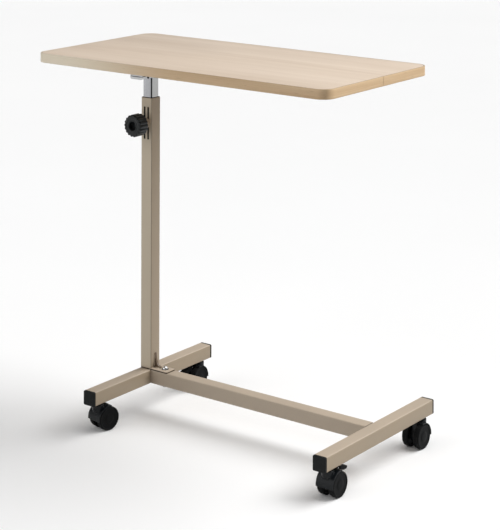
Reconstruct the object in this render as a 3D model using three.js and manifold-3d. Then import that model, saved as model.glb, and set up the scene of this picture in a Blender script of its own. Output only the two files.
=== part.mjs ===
// Height-adjustable overbed table: a laminated tabletop on a chromed inner tube that slides in a
// square column, clamped by a fluted knob, on an H-shaped tube base with four twin-wheel casters.
// Millimetres, +Z up. Origin: on the floor, under the middle of the object's bounding box.
// +X runs along the tabletop away from the column. The knob faces -Y, the front.
import * as THREE from "three";
import { mergeVertices } from "three/addons/utils/BufferGeometryUtils.js";
import Module from "manifold-3d";

const wasm = await Module();
wasm.setup();

// ---------------------------------------------------------------- driving dimensions
const GAP = 0.02; // keeps neighbouring pieces from sharing a face

const TOP_Z = 788; // upper face of the tabletop at rest (travel 780 to 1050)
const TOP_THICK = 20;
const UNDER_Z = TOP_Z - TOP_THICK; // underside of the tabletop

const TUBE = 30; // outside size of the column, legs and beam
const TUBE_WALL = 1.5;
const TUBE_R = 2.5; // outside corner radius
const BASE_LENGTH = 620; // along X, over the two leg tubes
const COLUMN_X = -221.5; // centre of the column and of the left leg
const RIGHT_LEG_X = COLUMN_X + BASE_LENGTH - TUBE;
const FACE_Y = -TUBE / 2; // the column face that carries the clamp

const LEG_LENGTH = 400; // over the end caps
const LEG_BOTTOM_Z = 59;
const LEG_TOP_Z = LEG_BOTTOM_Z + TUBE;
const LEG_MID_Z = LEG_BOTTOM_Z + TUBE / 2;
const CASTER_Y = 170; // swivel axis from the middle of the leg

const FOOT_PLATE_T = 3;
const COLUMN_FOOT_Z = LEG_TOP_Z + FOOT_PLATE_T;
const FOOT_BOLT_X = COLUMN_X + 43;
const FOOT_BOLT_HOLE_R = 3.4;
const COLUMN_BOLT_HOLE_R = 4.4;

const KNOB_Z = 628; // clamp axis
const BOSS_LEN = 8;

// ---------------------------------------------------------------- outlines and solids
function pathOf(points, path) {
  points.forEach(([x, y], i) => (i ? path.lineTo(x, y) : path.moveTo(x, y)));
  path.closePath();
  return path;
}

function roundedRect(width, height, r, steps) {
  const corners = [
    [width / 2 - r, height / 2 - r, 0],
    [-width / 2 + r, height / 2 - r, 90],
    [-width / 2 + r, -height / 2 + r, 180],
    [width / 2 - r, -height / 2 + r, 270],
  ]; // centre x, centre y, start angle
  const points = [];
  for (const [x, y, start] of corners)
    for (let i = 0; i <= steps; i++) {
      const angle = THREE.MathUtils.degToRad(start + (90 * i) / steps);
      points.push([x + r * Math.cos(angle), y + r * Math.sin(angle)]);
    }
  return points;
}

const roundedSquare = (size, r, steps) => roundedRect(size, size, r, steps);

function circle(r, count) {
  return Array.from({ length: count }, (_, i) => {
    const angle = (2 * Math.PI * (i + 0.5)) / count;
    return [r * Math.cos(angle), r * Math.sin(angle)];
  });
}

// A straight prism of an outline, with optional holes, from 0 to depth along +Z.
function prism(points, depth, holes = []) {
  const shape = pathOf(points, new THREE.Shape());
  for (const hole of holes) shape.holes.push(pathOf(hole, new THREE.Path()));
  return new THREE.ExtrudeGeometry(shape, { depth, bevelEnabled: false });
}

// Turn a geometry built along +Z to another direction.
const alongX = (geometry) => geometry.rotateY(Math.PI / 2); // outline x becomes -z
const alongY = (geometry) => geometry.rotateX(-Math.PI / 2); // outline y becomes -z
const alongMinusY = (geometry) => geometry.rotateX(Math.PI / 2); // outline y becomes z

// A rod along +Z, from z0 to z1.
const rod = (r, z0, z1, steps) => prism(circle(r, steps), z1 - z0).translate(0, 0, z0);

const boxAt = (x0, x1, y0, y1, z0, z1) =>
  new THREE.BoxGeometry(x1 - x0, y1 - y0, z1 - z0).translate(
    (x0 + x1) / 2,
    (y0 + y1) / 2,
    (z0 + z1) / 2,
  );

function squareTube(size, wall, r, length) {
  const bore = roundedSquare(size - 2 * wall, Math.max(r - wall, 0.6), 2);
  return prism(roundedSquare(size, r, 3), length, [bore]);
}

const hexNut = ({ cornerR, height, holeR, holeSteps }) =>
  prism(circle(cornerR, 6), height, [circle(holeR, holeSteps)]);

// A manifold of a geometry: vertices welded, empty triangles dropped, faces turned outwards.
function solid(geometry) {
  const bare = geometry.clone();
  for (const name of Object.keys(bare.attributes))
    if (name !== "position") bare.deleteAttribute(name);
  const welded = mergeVertices(bare, 1e-4);
  const corners = welded.index.array;
  const kept = [];
  for (let i = 0; i < corners.length; i += 3) {
    const [a, b, c] = corners.slice(i, i + 3);
    if (a !== b && b !== c && a !== c) kept.push(a, b, c);
  }
  const vertProperties = new Float32Array(welded.attributes.position.array);
  const triVerts = new Uint32Array(kept);
  const build = () =>
    new wasm.Manifold(new wasm.Mesh({ numProp: 3, vertProperties, triVerts }));
  const built = build();
  if (built.volume() >= 0) return built;
  for (let i = 0; i < triVerts.length; i += 3)
    [triVerts[i + 1], triVerts[i + 2]] = [triVerts[i + 2], triVerts[i + 1]];
  return build();
}

function geometryOf(manifold) {
  const mesh = manifold.getMesh();
  const positions = new Float32Array(mesh.numVert * 3);
  for (let i = 0; i < mesh.numVert; i++)
    for (let k = 0; k < 3; k++)
      positions[3 * i + k] = mesh.vertProperties[mesh.numProp * i + k];
  const geometry = new THREE.BufferGeometry();
  geometry.setAttribute("position", new THREE.BufferAttribute(positions, 3));
  geometry.setIndex(new THREE.BufferAttribute(new Uint32Array(mesh.triVerts), 1));
  const flat = geometry.toNonIndexed();
  flat.computeVertexNormals();
  return flat;
}

// Joins the adds to the body, then takes the cuts away.
function carve(body, { adds = [], cuts = [] }) {
  let result = solid(body);
  for (const add of adds) result = result.add(solid(add));
  for (const cut of cuts) result = result.subtract(solid(cut));
  return geometryOf(result);
}

// A body of revolution about +Z. The profile's columns are radius, z.
function turned(profile, steps) {
  const points = profile.map(([r, z]) => new THREE.Vector2(r, z));
  return geometryOf(solid(new THREE.LatheGeometry(points, steps).rotateX(Math.PI / 2)));
}

// A square flange at z = 0 with a hollow plug behind it along +Z. flangeDepth is the space the
// flange takes up, flangeT its own thickness.
function flangedPlug({ flange, flangeDepth, flangeT, plug, plugLen, hollow, hollowLen }) {
  const plugBody = prism(plug, plugLen).translate(0, 0, flangeDepth - 0.5);
  const cavity = prism(hollow, hollowLen).translate(0, 0, flangeDepth + 1);
  return carve(prism(flange, flangeT), { adds: [plugBody], cuts: [cavity] });
}

// ---------------------------------------------------------------- materials
const material = (settings) => () => new THREE.MeshStandardMaterial(settings);
const laminate = material({ color: 0xdccab2, roughness: 0.5, metalness: 0 });
const bandTan = material({ color: 0xb39b77, roughness: 0.5, metalness: 0 });
const champagne = material({ color: 0xa8957c, roughness: 0.45, metalness: 0.2 });
const chrome = material({ color: 0xc4c6ca, roughness: 0.12, metalness: 1 });
const zinc = material({ color: 0xb9bbbd, roughness: 0.35, metalness: 1 });
const steel = material({ color: 0x8d8f92, roughness: 0.35, metalness: 1 });
const blackPlastic = material({ color: 0x1c1e20, roughness: 0.5, metalness: 0 });
const blackTread = material({ color: 0x161718, roughness: 0.6, metalness: 0 });
const nylon = material({ color: 0xd8d6cc, roughness: 0.55, metalness: 0 });

// ---------------------------------------------------------------- groups
const object = new THREE.Group();
object.name = "overbed_table";
const topGroup = new THREE.Group(); // its z = 0 is the tabletop's underside
const baseGroup = new THREE.Group();
const clampGroup = new THREE.Group(); // its +Z points out of the column face, towards -Y
object.add(topGroup, baseGroup, clampGroup);
topGroup.position.set(0, 0, UNDER_Z);
clampGroup.position.set(COLUMN_X, FACE_Y, KNOB_Z);
clampGroup.rotation.x = Math.PI / 2;

function place(group, name, geometry, makeMaterial) {
  const mesh = new THREE.Mesh(geometry, makeMaterial());
  mesh.name = name;
  group.add(mesh);
}

// ---------------------------------------------------------------- tabletop
const TOP_LENGTH = 765; // along X
const TOP_DEPTH = 380; // along Y
const TOP_CORNER_R = 28;
const TOP_CENTRE_X = -6;
const BAND_THICK = 2; // edge band
const PILOT_R = 2.1;
const PILOT_DEPTH = 14.5;
const SCREW_X = 24; // bracket screws, from the column's centre
const SCREW_Y = 38;
const screwSpots = [-1, 1].flatMap((sideY) =>
  [-1, 1].map((sideX) => [COLUMN_X + sideX * SCREW_X, sideY * SCREW_Y]),
);

const panelOutline = roundedRect(
  TOP_LENGTH - 2 * BAND_THICK,
  TOP_DEPTH - 2 * BAND_THICK,
  TOP_CORNER_R - BAND_THICK,
  8,
);

function tabletopPanel() {
  const panel = prism(panelOutline, TOP_THICK).translate(TOP_CENTRE_X, 0, 0);
  const pilots = screwSpots.map(([x, y]) => rod(PILOT_R, -1, PILOT_DEPTH, 8).translate(x, y, 0));
  return carve(panel, { cuts: pilots });
}

function edgeBand() {
  const outline = roundedRect(TOP_LENGTH, TOP_DEPTH, TOP_CORNER_R, 8);
  return prism(outline, TOP_THICK, [panelOutline]).translate(TOP_CENTRE_X, 0, 0);
}

place(topGroup, "tabletop_panel", tabletopPanel(), laminate);
place(topGroup, "edge_band", edgeBand(), bandTan);

// ---------------------------------------------------------------- bracket and sliding tube
const BRACKET_LEN = 102; // along Y
const BRACKET_DROP = 40;
const BRACKET_T = 2.5;
const BRACKET_HALF = 15.5; // outside half width of the channel
const BRACKET_FLANGE_HALF = 33;
const END_PLATE_INSET = 0.3; // inside the channel's outer faces
const BRACKET_SCREW_HOLE_R = 2.4;
const CHEEK_HOLE_R = 3.2;
const CHEEK_HOLE_Y = 28;
const CHEEK_HOLE_RISE = 4.2; // above the upper face of the web

const INNER = 25; // outside size of the sliding tube
const INNER_WALL = 1.5;
const INNER_R = 2;
const INNER_TOP_Z = 765;
const INNER_CLEARANCE = 0.2; // around the tube, in the bracket's web
const TUBE_HOLE_Z = 724.3;
const TUBE_HOLE_R = 3;
const GLIDE_FLANGE = 4;
const GLIDE_BOTTOM_Z = 109;

// Hat-section bracket: a channel under the top, closed by welded end plates, with screw flanges.
function topBracket() {
  const drop = BRACKET_DROP;
  const thick = BRACKET_T;
  const half = BRACKET_HALF;
  const flangeHalf = BRACKET_FLANGE_HALF;
  // columns: x from the column's centre, depth below the tabletop
  const outline = [
    [-flangeHalf, 0], [-flangeHalf, thick],
    [-half, thick], [-half, drop], [half, drop], [half, thick],
    [flangeHalf, thick], [flangeHalf, 0],
    [half - thick, 0], [half - thick, drop - thick],
    [-half + thick, drop - thick], [-half + thick, 0],
  ];
  const hat = alongY(prism(outline, BRACKET_LEN)).translate(COLUMN_X, -BRACKET_LEN / 2, 0);

  const screwHoles = screwSpots.map(([x, y]) =>
    rod(BRACKET_SCREW_HOLE_R, -thick - 1, 1, 10).translate(x, y, 0),
  );
  // plating holes through both cheeks
  const cheekHoles = [-CHEEK_HOLE_Y, CHEEK_HOLE_Y].map((y) =>
    alongX(rod(CHEEK_HOLE_R, -20, 20, 12)).translate(
      COLUMN_X,
      y,
      -drop + thick + CHEEK_HOLE_RISE,
    ),
  );
  // the sliding tube stands in a square hole in the web
  const slot = INNER / 2 + INNER_CLEARANCE;
  const tubeSlot = boxAt(
    COLUMN_X - slot, COLUMN_X + slot, -slot, slot, -drop - 1, -drop + thick + 1,
  );

  const plateOuter = BRACKET_LEN / 2 - END_PLATE_INSET;
  const plateInner = BRACKET_LEN / 2 - thick;
  const plateHalf = half - END_PLATE_INSET;
  const endPlates = [[-plateOuter, -plateInner], [plateInner, plateOuter]].map(([y0, y1]) =>
    boxAt(
      COLUMN_X - plateHalf, COLUMN_X + plateHalf,
      y0, y1,
      -drop + END_PLATE_INSET, -END_PLATE_INSET,
    ),
  );
  return carve(hat, { adds: endPlates, cuts: [...screwHoles, ...cheekHoles, tubeSlot] });
}

function bracketScrew() {
  const seatZ = -BRACKET_T - GAP;
  return turned(
    [
      [0, -5.2], [3.2, -5.0], [4.2, -3.8], [4.2, seatZ],
      [1.75, seatZ], [1.75, 11], [0, 13.5],
    ],
    12,
  );
}

function innerColumn() {
  const bottomZ = GLIDE_BOTTOM_Z + GLIDE_FLANGE;
  const tube = squareTube(INNER, INNER_WALL, INNER_R, INNER_TOP_Z - bottomZ);
  // plating hole in the face on the knob's side, right under the bracket
  const hole = alongY(rod(TUBE_HOLE_R, -14, -9, 12));
  return carve(tube.translate(COLUMN_X, 0, bottomZ - UNDER_Z), {
    cuts: [hole.translate(COLUMN_X, 0, TUBE_HOLE_Z - UNDER_Z)],
  });
}

// Plug in the lower end of the sliding tube.
function columnGlide() {
  return flangedPlug({
    flange: roundedSquare(25.5, 2, 3),
    flangeDepth: GLIDE_FLANGE,
    flangeT: GLIDE_FLANGE,
    plug: roundedSquare(21.5, 1.2, 2),
    plugLen: 18,
    hollow: roundedSquare(16, 1, 2),
    hollowLen: 20,
  }).translate(COLUMN_X, 0, GLIDE_BOTTOM_Z - UNDER_Z - GAP);
}

place(topGroup, "top_bracket", topBracket(), zinc);
screwSpots.forEach(([x, y], i) =>
  place(topGroup, `bracket_screw_${i + 1}`, bracketScrew().translate(x, y, 0), steel),
);
place(topGroup, "inner_column", innerColumn(), chrome);
place(topGroup, "column_glide", columnGlide(), blackPlastic);

// ---------------------------------------------------------------- column and foot
const COLUMN_WALL = 2;
const COLUMN_TOP_Z = 683;
const SLIT_LOW_Z = 592;
const SLIT_HIGH_Z = 663.5;
const SLIT_WIDTH = 4;
const SLIT_R = SLIT_WIDTH / 2 - 0.05;
const SLIT_OFFSET_X = 4.6;
const BOSS_R = 10;
const BOSS_HOLE_R = 4.4;
const PLATE_REACH = 60; // foot plate, from the column's centre towards +X
const PLATE_R = 2.5;
const GUSSET_THICK = 5;

function outerColumn() {
  const tube = squareTube(TUBE, COLUMN_WALL, TUBE_R, COLUMN_TOP_Z - COLUMN_FOOT_Z);
  // two slits free a springy strip that the clamp screw presses on the sliding tube
  const slitOutline = roundedRect(SLIT_WIDTH, SLIT_HIGH_Z - SLIT_LOW_Z, SLIT_R, 3);
  const slits = [-1, 1].map((side) =>
    alongMinusY(prism(slitOutline, 6)).translate(
      COLUMN_X + side * SLIT_OFFSET_X,
      FACE_Y + 4,
      (SLIT_LOW_Z + SLIT_HIGH_Z) / 2,
    ),
  );
  return carve(tube.translate(COLUMN_X, 0, COLUMN_FOOT_Z), { cuts: slits });
}

// Bored weld boss on the column face.
function clampBoss() {
  const boss = prism(circle(BOSS_R, 24), BOSS_LEN, [circle(BOSS_HOLE_R, 16)]);
  return alongMinusY(boss).translate(COLUMN_X, FACE_Y - GAP, KNOB_Z);
}

function footPlate() {
  const outline = roundedRect(PLATE_REACH + TUBE / 2, TUBE, PLATE_R, 3);
  const plate = prism(outline, FOOT_PLATE_T - 2 * GAP).translate(
    COLUMN_X + (PLATE_REACH - TUBE / 2) / 2,
    0,
    LEG_TOP_Z + GAP,
  );
  return carve(plate, {
    cuts: [
      rod(FOOT_BOLT_HOLE_R, -5, 8, 14).translate(FOOT_BOLT_X, 0, LEG_TOP_Z),
      rod(COLUMN_BOLT_HOLE_R, -5, 8, 14).translate(COLUMN_X, 0, LEG_TOP_Z),
    ],
  });
}

// Triangular gusset with a hollowed long side, in the XZ plane.
function footGusset() {
  const faceX = TUBE / 2 + GAP;
  // columns: x from the column's centre, height above the foot plate
  const outline = [
    [faceX, 0], [faceX + 17, 0], [faceX + 17, 2], [faceX + 9.5, 7],
    [faceX + 5, 15], [faceX + 2.4, 29], [faceX, 31],
  ];
  return alongMinusY(prism(outline, GUSSET_THICK)).translate(
    COLUMN_X,
    GUSSET_THICK / 2,
    COLUMN_FOOT_Z + GAP,
  );
}

// Weld nut inside the column foot.
function columnNut() {
  return hexNut({ cornerR: 7.2, height: 6.4, holeR: 4.3, holeSteps: 16 }).translate(
    COLUMN_X,
    0,
    COLUMN_FOOT_Z + GAP,
  );
}

// Bolt that comes up through the left leg, head below.
function columnBolt() {
  const profile = [
    [0, LEG_BOTTOM_Z - 4.6], [4.2, LEG_BOTTOM_Z - 4.5], [6.4, LEG_BOTTOM_Z - 2.6],
    [7, LEG_BOTTOM_Z - GAP], [3.9, LEG_BOTTOM_Z - GAP],
    [3.9, COLUMN_FOOT_Z + 7], [3.2, COLUMN_FOOT_Z + 7.8], [0, COLUMN_FOOT_Z + 7.8],
  ];
  return turned(profile, 16).translate(COLUMN_X, 0, 0);
}

// Bolt from the foot plate down through the beam, head above.
function footBolt() {
  const profile = [
    [0, LEG_BOTTOM_Z - 6], [2.3, LEG_BOTTOM_Z - 6], [2.9, LEG_BOTTOM_Z - 5.3],
    [2.9, COLUMN_FOOT_Z + GAP], [6, COLUMN_FOOT_Z + GAP],
    [5.8, COLUMN_FOOT_Z + 1.8], [4, COLUMN_FOOT_Z + 3.4], [0, COLUMN_FOOT_Z + 3.9],
  ];
  return turned(profile, 16).translate(FOOT_BOLT_X, 0, 0);
}

// Nut on the foot bolt, under the beam.
function footNut() {
  return hexNut({ cornerR: 5.8, height: 4.9, holeR: 3.2, holeSteps: 14 }).translate(
    FOOT_BOLT_X,
    0,
    LEG_BOTTOM_Z - 5,
  );
}

place(baseGroup, "outer_column", outerColumn(), champagne);
place(baseGroup, "clamp_boss", clampBoss(), champagne);
place(baseGroup, "foot_plate", footPlate(), champagne);
place(baseGroup, "foot_gusset", footGusset(), champagne);
place(baseGroup, "column_nut", columnNut(), steel);
place(baseGroup, "column_bolt", columnBolt(), steel);
place(baseGroup, "foot_bolt", footBolt(), steel);
place(baseGroup, "foot_nut", footNut(), steel);

// ---------------------------------------------------------------- base tubes
const CAP_FLANGE = 4.5;
const INSERT_HOLE_R = 5.7; // for a caster's insert
const BEAM_X0 = COLUMN_X + TUBE / 2 + 0.05;
const BEAM_X1 = RIGHT_LEG_X - TUBE / 2 - 0.4;
const BEAM_SCREW_HOLE_R = 2.8;
const SPIGOT_LEN = 56;
const SPIGOT_WALL = 2;
const SPIGOT_R = 1.6;
const SPIGOT_SCREW_HOLE_R = 2.5;
const SPIGOT_CLEARANCE = 0.5; // on the full width inside the beam
const spigotScrews = [BEAM_X1 - 14, BEAM_X1 - 38];

function leg(x, extraCuts = []) {
  const length = LEG_LENGTH - 2 * CAP_FLANGE;
  const tube = alongY(squareTube(TUBE, TUBE_WALL, TUBE_R, length));
  const insertHoles = [-CASTER_Y, CASTER_Y].map((y) =>
    rod(INSERT_HOLE_R, -3, 4, 16).translate(x, y, LEG_BOTTOM_Z),
  );
  return carve(tube.translate(x, -length / 2, LEG_MID_Z), {
    cuts: [...insertHoles, ...extraCuts],
  });
}

function leftLeg() {
  const boltHole = rod(COLUMN_BOLT_HOLE_R, -3, TUBE + 3, 14);
  return leg(COLUMN_X, [boltHole.translate(COLUMN_X, 0, LEG_BOTTOM_Z)]);
}

function crossBeam() {
  const tube = alongX(squareTube(TUBE, TUBE_WALL, TUBE_R, BEAM_X1 - BEAM_X0));
  const boltHole = rod(FOOT_BOLT_HOLE_R, -3, TUBE + 3, 14);
  const screwHoles = spigotScrews.map((x) =>
    rod(BEAM_SCREW_HOLE_R, -3, 4, 12).translate(x, 0, LEG_BOTTOM_Z),
  );
  return carve(tube.translate(BEAM_X0, 0, LEG_MID_Z), {
    cuts: [boltHole.translate(FOOT_BOLT_X, 0, LEG_BOTTOM_Z), ...screwHoles],
  });
}

// Square sleeve on the right leg that the beam slides over.
function beamSpigot() {
  const size = TUBE - 2 * TUBE_WALL - SPIGOT_CLEARANCE;
  const endX = RIGHT_LEG_X - TUBE / 2 - 0.03;
  const sleeve = alongX(squareTube(size, SPIGOT_WALL, SPIGOT_R, SPIGOT_LEN));
  const holes = spigotScrews.map((x) =>
    rod(SPIGOT_SCREW_HOLE_R, -1, 6, 12).translate(x, 0, LEG_BOTTOM_Z),
  );
  return carve(sleeve.translate(endX - SPIGOT_LEN, 0, LEG_MID_Z), { cuts: holes });
}

function beamScrew() {
  const profile = [
    [0, -2.9], [2.8, -2.6], [4.3, -1.2], [4.3, -GAP], [2.2, -GAP], [2.2, 7.4], [0, 8.2],
  ];
  return turned(profile, 12);
}

// Push-in cap, built from its outer face inwards; side is the sign of the leg end's y.
function endCap(x, side) {
  const cap = flangedPlug({
    flange: roundedSquare(TUBE, TUBE_R, 3),
    flangeDepth: CAP_FLANGE,
    flangeT: CAP_FLANGE - 2 * GAP,
    plug: roundedSquare(26.4, 1.2, 2),
    plugLen: 14,
    hollow: roundedSquare(22, 1, 2),
    hollowLen: 14,
  });
  const turnInwards = side < 0 ? alongY : alongMinusY;
  return turnInwards(cap).translate(x, (side * LEG_LENGTH) / 2, LEG_MID_Z);
}

place(baseGroup, "left_leg", leftLeg(), champagne);
place(baseGroup, "right_leg", leg(RIGHT_LEG_X), champagne);
place(baseGroup, "cross_beam", crossBeam(), champagne);
place(baseGroup, "beam_spigot", beamSpigot(), steel);
spigotScrews.forEach((x, i) =>
  place(baseGroup, `beam_screw_${i + 1}`, beamScrew().translate(x, 0, LEG_BOTTOM_Z), steel),
);
for (const [end, side] of [["front", -1], ["back", 1]])
  for (const [hand, x] of [["left", COLUMN_X], ["right", RIGHT_LEG_X]])
    place(baseGroup, `end_cap_${end}_${hand}`, endCap(x, side), blackPlastic);

// ---------------------------------------------------------------- clamp knob
// z is measured out of the column face
const KNOB_R = 23.5;
const KNOB_BACK = 23;
const KNOB_FRONT = 47;
const KNOB_FLUTES = 18;
const POINTS_PER_FLUTE = 6;
const FLUTE_DEPTH = 1.5;
const RIM_FLUTE_DEPTH = 0.9;
const NECK_R = 9;
const CUP_R = 9.5;
const CUP_TAPER = 1.2; // radius lost at the bottom of the cup
const CUP_DEPTH = 8;
const BORE_R = 4.3;
const BORE_END = 34.3;
const STUD_R = 3.9; // M8 clamp screw
const STUD_END = 34;

function flutedRing(z, scale, depth) {
  const count = KNOB_FLUTES * POINTS_PER_FLUTE;
  return Array.from({ length: count }, (_, i) => {
    const angle = (2 * Math.PI * i) / count;
    const wave = 0.5 - 0.5 * Math.cos(KNOB_FLUTES * angle);
    const r = KNOB_R * scale - depth * wave ** 1.5;
    return [r * Math.cos(angle), r * Math.sin(angle), z];
  });
}

// The grip, with chamfered rims: one ring of points per level, joined into walls.
function knobGrip() {
  // columns: z, radius scale, flute depth
  const rings = [
    [KNOB_BACK, 0.93, RIM_FLUTE_DEPTH],
    [KNOB_BACK + 1.8, 1, FLUTE_DEPTH],
    [KNOB_FRONT - 3, 1, FLUTE_DEPTH],
    [KNOB_FRONT - 0.8, 0.965, FLUTE_DEPTH],
    [KNOB_FRONT, 0.9, RIM_FLUTE_DEPTH],
  ].map((level) => flutedRing(...level));
  const count = rings[0].length;
  const points = rings.flat();
  const faces = [];
  for (let level = 0; level + 1 < rings.length; level++)
    for (let i = 0; i < count; i++) {
      const here = level * count + i;
      const next = level * count + ((i + 1) % count);
      faces.push(here, next, next + count, here, next + count, here + count);
    }
  const backCentre = points.push([0, 0, KNOB_BACK]) - 1;
  const frontCentre = points.push([0, 0, KNOB_FRONT]) - 1;
  const lastRing = (rings.length - 1) * count;
  for (let i = 0; i < count; i++) {
    const next = (i + 1) % count;
    faces.push(backCentre, next, i);
    faces.push(frontCentre, lastRing + i, lastRing + next);
  }
  const grip = new THREE.BufferGeometry();
  const positions = new Float32Array(points.flat());
  grip.setAttribute("position", new THREE.BufferAttribute(positions, 3));
  grip.setIndex(faces);
  return grip;
}

function clampKnob() {
  const neck = rod(NECK_R, BOSS_LEN + 3, KNOB_BACK + 3, 24);
  const cup = new THREE.CylinderGeometry(CUP_R, CUP_R - CUP_TAPER, CUP_DEPTH, 24)
    .rotateX(Math.PI / 2)
    .translate(0, 0, KNOB_FRONT - CUP_DEPTH / 2 + 0.01);
  const bore = rod(BORE_R, 0, BORE_END, 16);
  return carve(knobGrip(), { adds: [neck], cuts: [cup, bore] });
}

const studProfile = [[0, 3.6], [3, 3.6], [STUD_R, 4.6], [STUD_R, STUD_END], [0, STUD_END]];
const tipProfile = [[0, 0.3], [3.5, 0.3], [3.9, 0.8], [3.9, 3.3], [0, 3.3]];

place(clampGroup, "clamp_knob", clampKnob(), blackPlastic);
place(clampGroup, "clamp_stud", turned(studProfile, 16), steel);
place(clampGroup, "pressure_tip", turned(tipProfile, 16), nylon);

// ---------------------------------------------------------------- casters
// In a caster's own group: swivel axis = z axis, z = 0 at the leg's underside, axle on the +Y side.
const WHEEL_R = 25;
const WHEEL_OUT = 20; // outer face of each wheel, from the caster's middle plane
const WHEEL_IN = 7;
const AXLE_R = 4;
const AXLE_Y = 16; // trail behind the swivel axis
const AXLE_Z = WHEEL_R - LEG_BOTTOM_Z;
const HOOD_R_IN = 25.9;
const HOOD_R_OUT = 28;
const HOOD_START = -12; // degrees, see polar
const HOOD_END = 96;
const HOOD_STEPS = 12;
const WEB_HALF = 6.3; // half thickness of the web between the wheels
const WHEEL_ROOM = 20; // width of the space cut beside the web
const LEVER_Y = AXLE_Y + 12; // brake lever pivot
const LEVER_Z = AXLE_Z + 25.8;
const LUG_HALF = 3.1;
const EAR_IN = 3.4;
const EAR_OUT = 6.2;
const PIN_R = 1.45;
const PIN_HOLE_R = 1.6;
const FRONT_LEFT_SWIVEL = -12; // degrees, how the front left caster stands at rest

const radians = THREE.MathUtils.degToRad;

// [y, z] about the axle; the angle runs from straight up, positive towards the swivel axis (-Y).
const polar = (r, angle) => [
  AXLE_Y - r * Math.sin(radians(angle)),
  AXLE_Z + r * Math.cos(radians(angle)),
];

const hoodArc = (r) =>
  Array.from({ length: HOOD_STEPS + 1 }, (_, i) =>
    polar(r, HOOD_START + ((HOOD_END - HOOD_START) * i) / HOOD_STEPS),
  );

// A plate between x0 and x1; the outline's columns are y, z.
function plateYZ(points, x0, x1) {
  const outline = points.map(([y, z]) => [-z, y]);
  return alongX(prism(outline, x1 - x0)).translate(x0, 0, 0);
}

const fromPivot = (points) => points.map(([y, z]) => [LEVER_Y + y, LEVER_Z + z]);
const pinHole = (half) => alongX(rod(PIN_HOLE_R, -half, half, 12)).translate(0, LEVER_Y, LEVER_Z);

// Columns: y, z from the lever pivot.
const lugOutline = fromPivot([
  [-9, 1.5], [0, 2.9], [2.4, 1.6], [2.9, 0], [2.2, -1.9], [0, -2.9], [-9, -12],
]);
const earOutline = fromPivot([
  [-2, 1.9], [0, 2.8], [7, 1.2], [7, -3.0], [0, -2.8], [-2, -1.9], [-2.8, 0],
]);
const armOutline = fromPivot([
  [4, 2.2], [16, -2.6], [24, -6.6], [33, -8.4],
  [33.2, -12.2], [23, -11.2], [14, -7.2], [4, -2.6],
]);

// Web between the wheels, with the hood over them and the swivel boss.
function casterBody(withBrake) {
  // columns: radius, angle, the web's edge from the hood's low end round under the axle
  const webEdge = [
    [14, 118], [13, 145], [13, 180], [13, 215], [13, 250], [13, 285], [15, 320],
  ].map(([r, angle]) => polar(r, angle));
  const web = plateYZ([...hoodArc(HOOD_R_OUT), ...webEdge], -WEB_HALF, WEB_HALF);
  const hoodOutline = [...hoodArc(HOOD_R_OUT), ...hoodArc(HOOD_R_IN).reverse()];
  const hood = plateYZ(hoodOutline, -WHEEL_OUT, WHEEL_OUT);
  const swivelBoss = rod(12.8, -17, -3.6, 24);
  const stemHole = rod(4.3, -25, 0, 16);
  const axleHole = alongX(rod(AXLE_R + 0.15, -8, 8, 16)).translate(0, AXLE_Y, AXLE_Z);
  const wheelRooms = [-WEB_HALF - WHEEL_ROOM, WEB_HALF].map((x) =>
    alongX(rod(HOOD_R_IN - 0.1, 0, WHEEL_ROOM, 40)).translate(x, AXLE_Y, AXLE_Z),
  );
  const adds = [hood, swivelBoss];
  const cuts = [stemHole, axleHole, ...wheelRooms];
  if (withBrake) {
    adds.push(plateYZ(lugOutline, -LUG_HALF, LUG_HALF));
    cuts.push(pinHole(5));
  }
  return carve(web, { adds, cuts });
}

// Two ears astride the body's lug, joined by the arm.
function brakeLever() {
  const rightEar = plateYZ(earOutline, EAR_IN, EAR_OUT);
  const leftEar = plateYZ(earOutline, -EAR_OUT, -EAR_IN);
  const arm = plateYZ(armOutline, -8, 8);
  return carve(rightEar, { adds: [leftEar, arm], cuts: [pinHole(9)] });
}

// Profiles: columns are radius and place along the axis.
const wheelProfile = [
  [0, 16.8], [4.3, 16.8], [4.3, WHEEL_IN], [23.4, WHEEL_IN],
  [WHEEL_R, WHEEL_IN + 1.3], [WHEEL_R, WHEEL_OUT - 2.4], [24.4, WHEEL_OUT - 0.8],
  [23.2, WHEEL_OUT], [21.4, WHEEL_OUT], [20.7, WHEEL_OUT - 1], [0, WHEEL_OUT - 1],
];
const axleProfile = [
  [0, -16.4], [3.4, -16.4], [AXLE_R, -15.8], [AXLE_R, 15.8], [3.4, 16.4], [0, 16.4],
];
const insertProfile = [
  [4.3, -0.9], [8, -0.9], [8, -GAP], [5.5, -GAP], [5.5, 12], [4.3, 12], [4.3, -0.9],
];
const stemProfile = [
  [0, -24.4], [3.2, -24.4], [4, -23.4], [4, -3.1], [7.2, -3.1],
  [7.2, -0.95], [4, -0.95], [4, 14], [3, 15], [0, 15],
];

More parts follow.
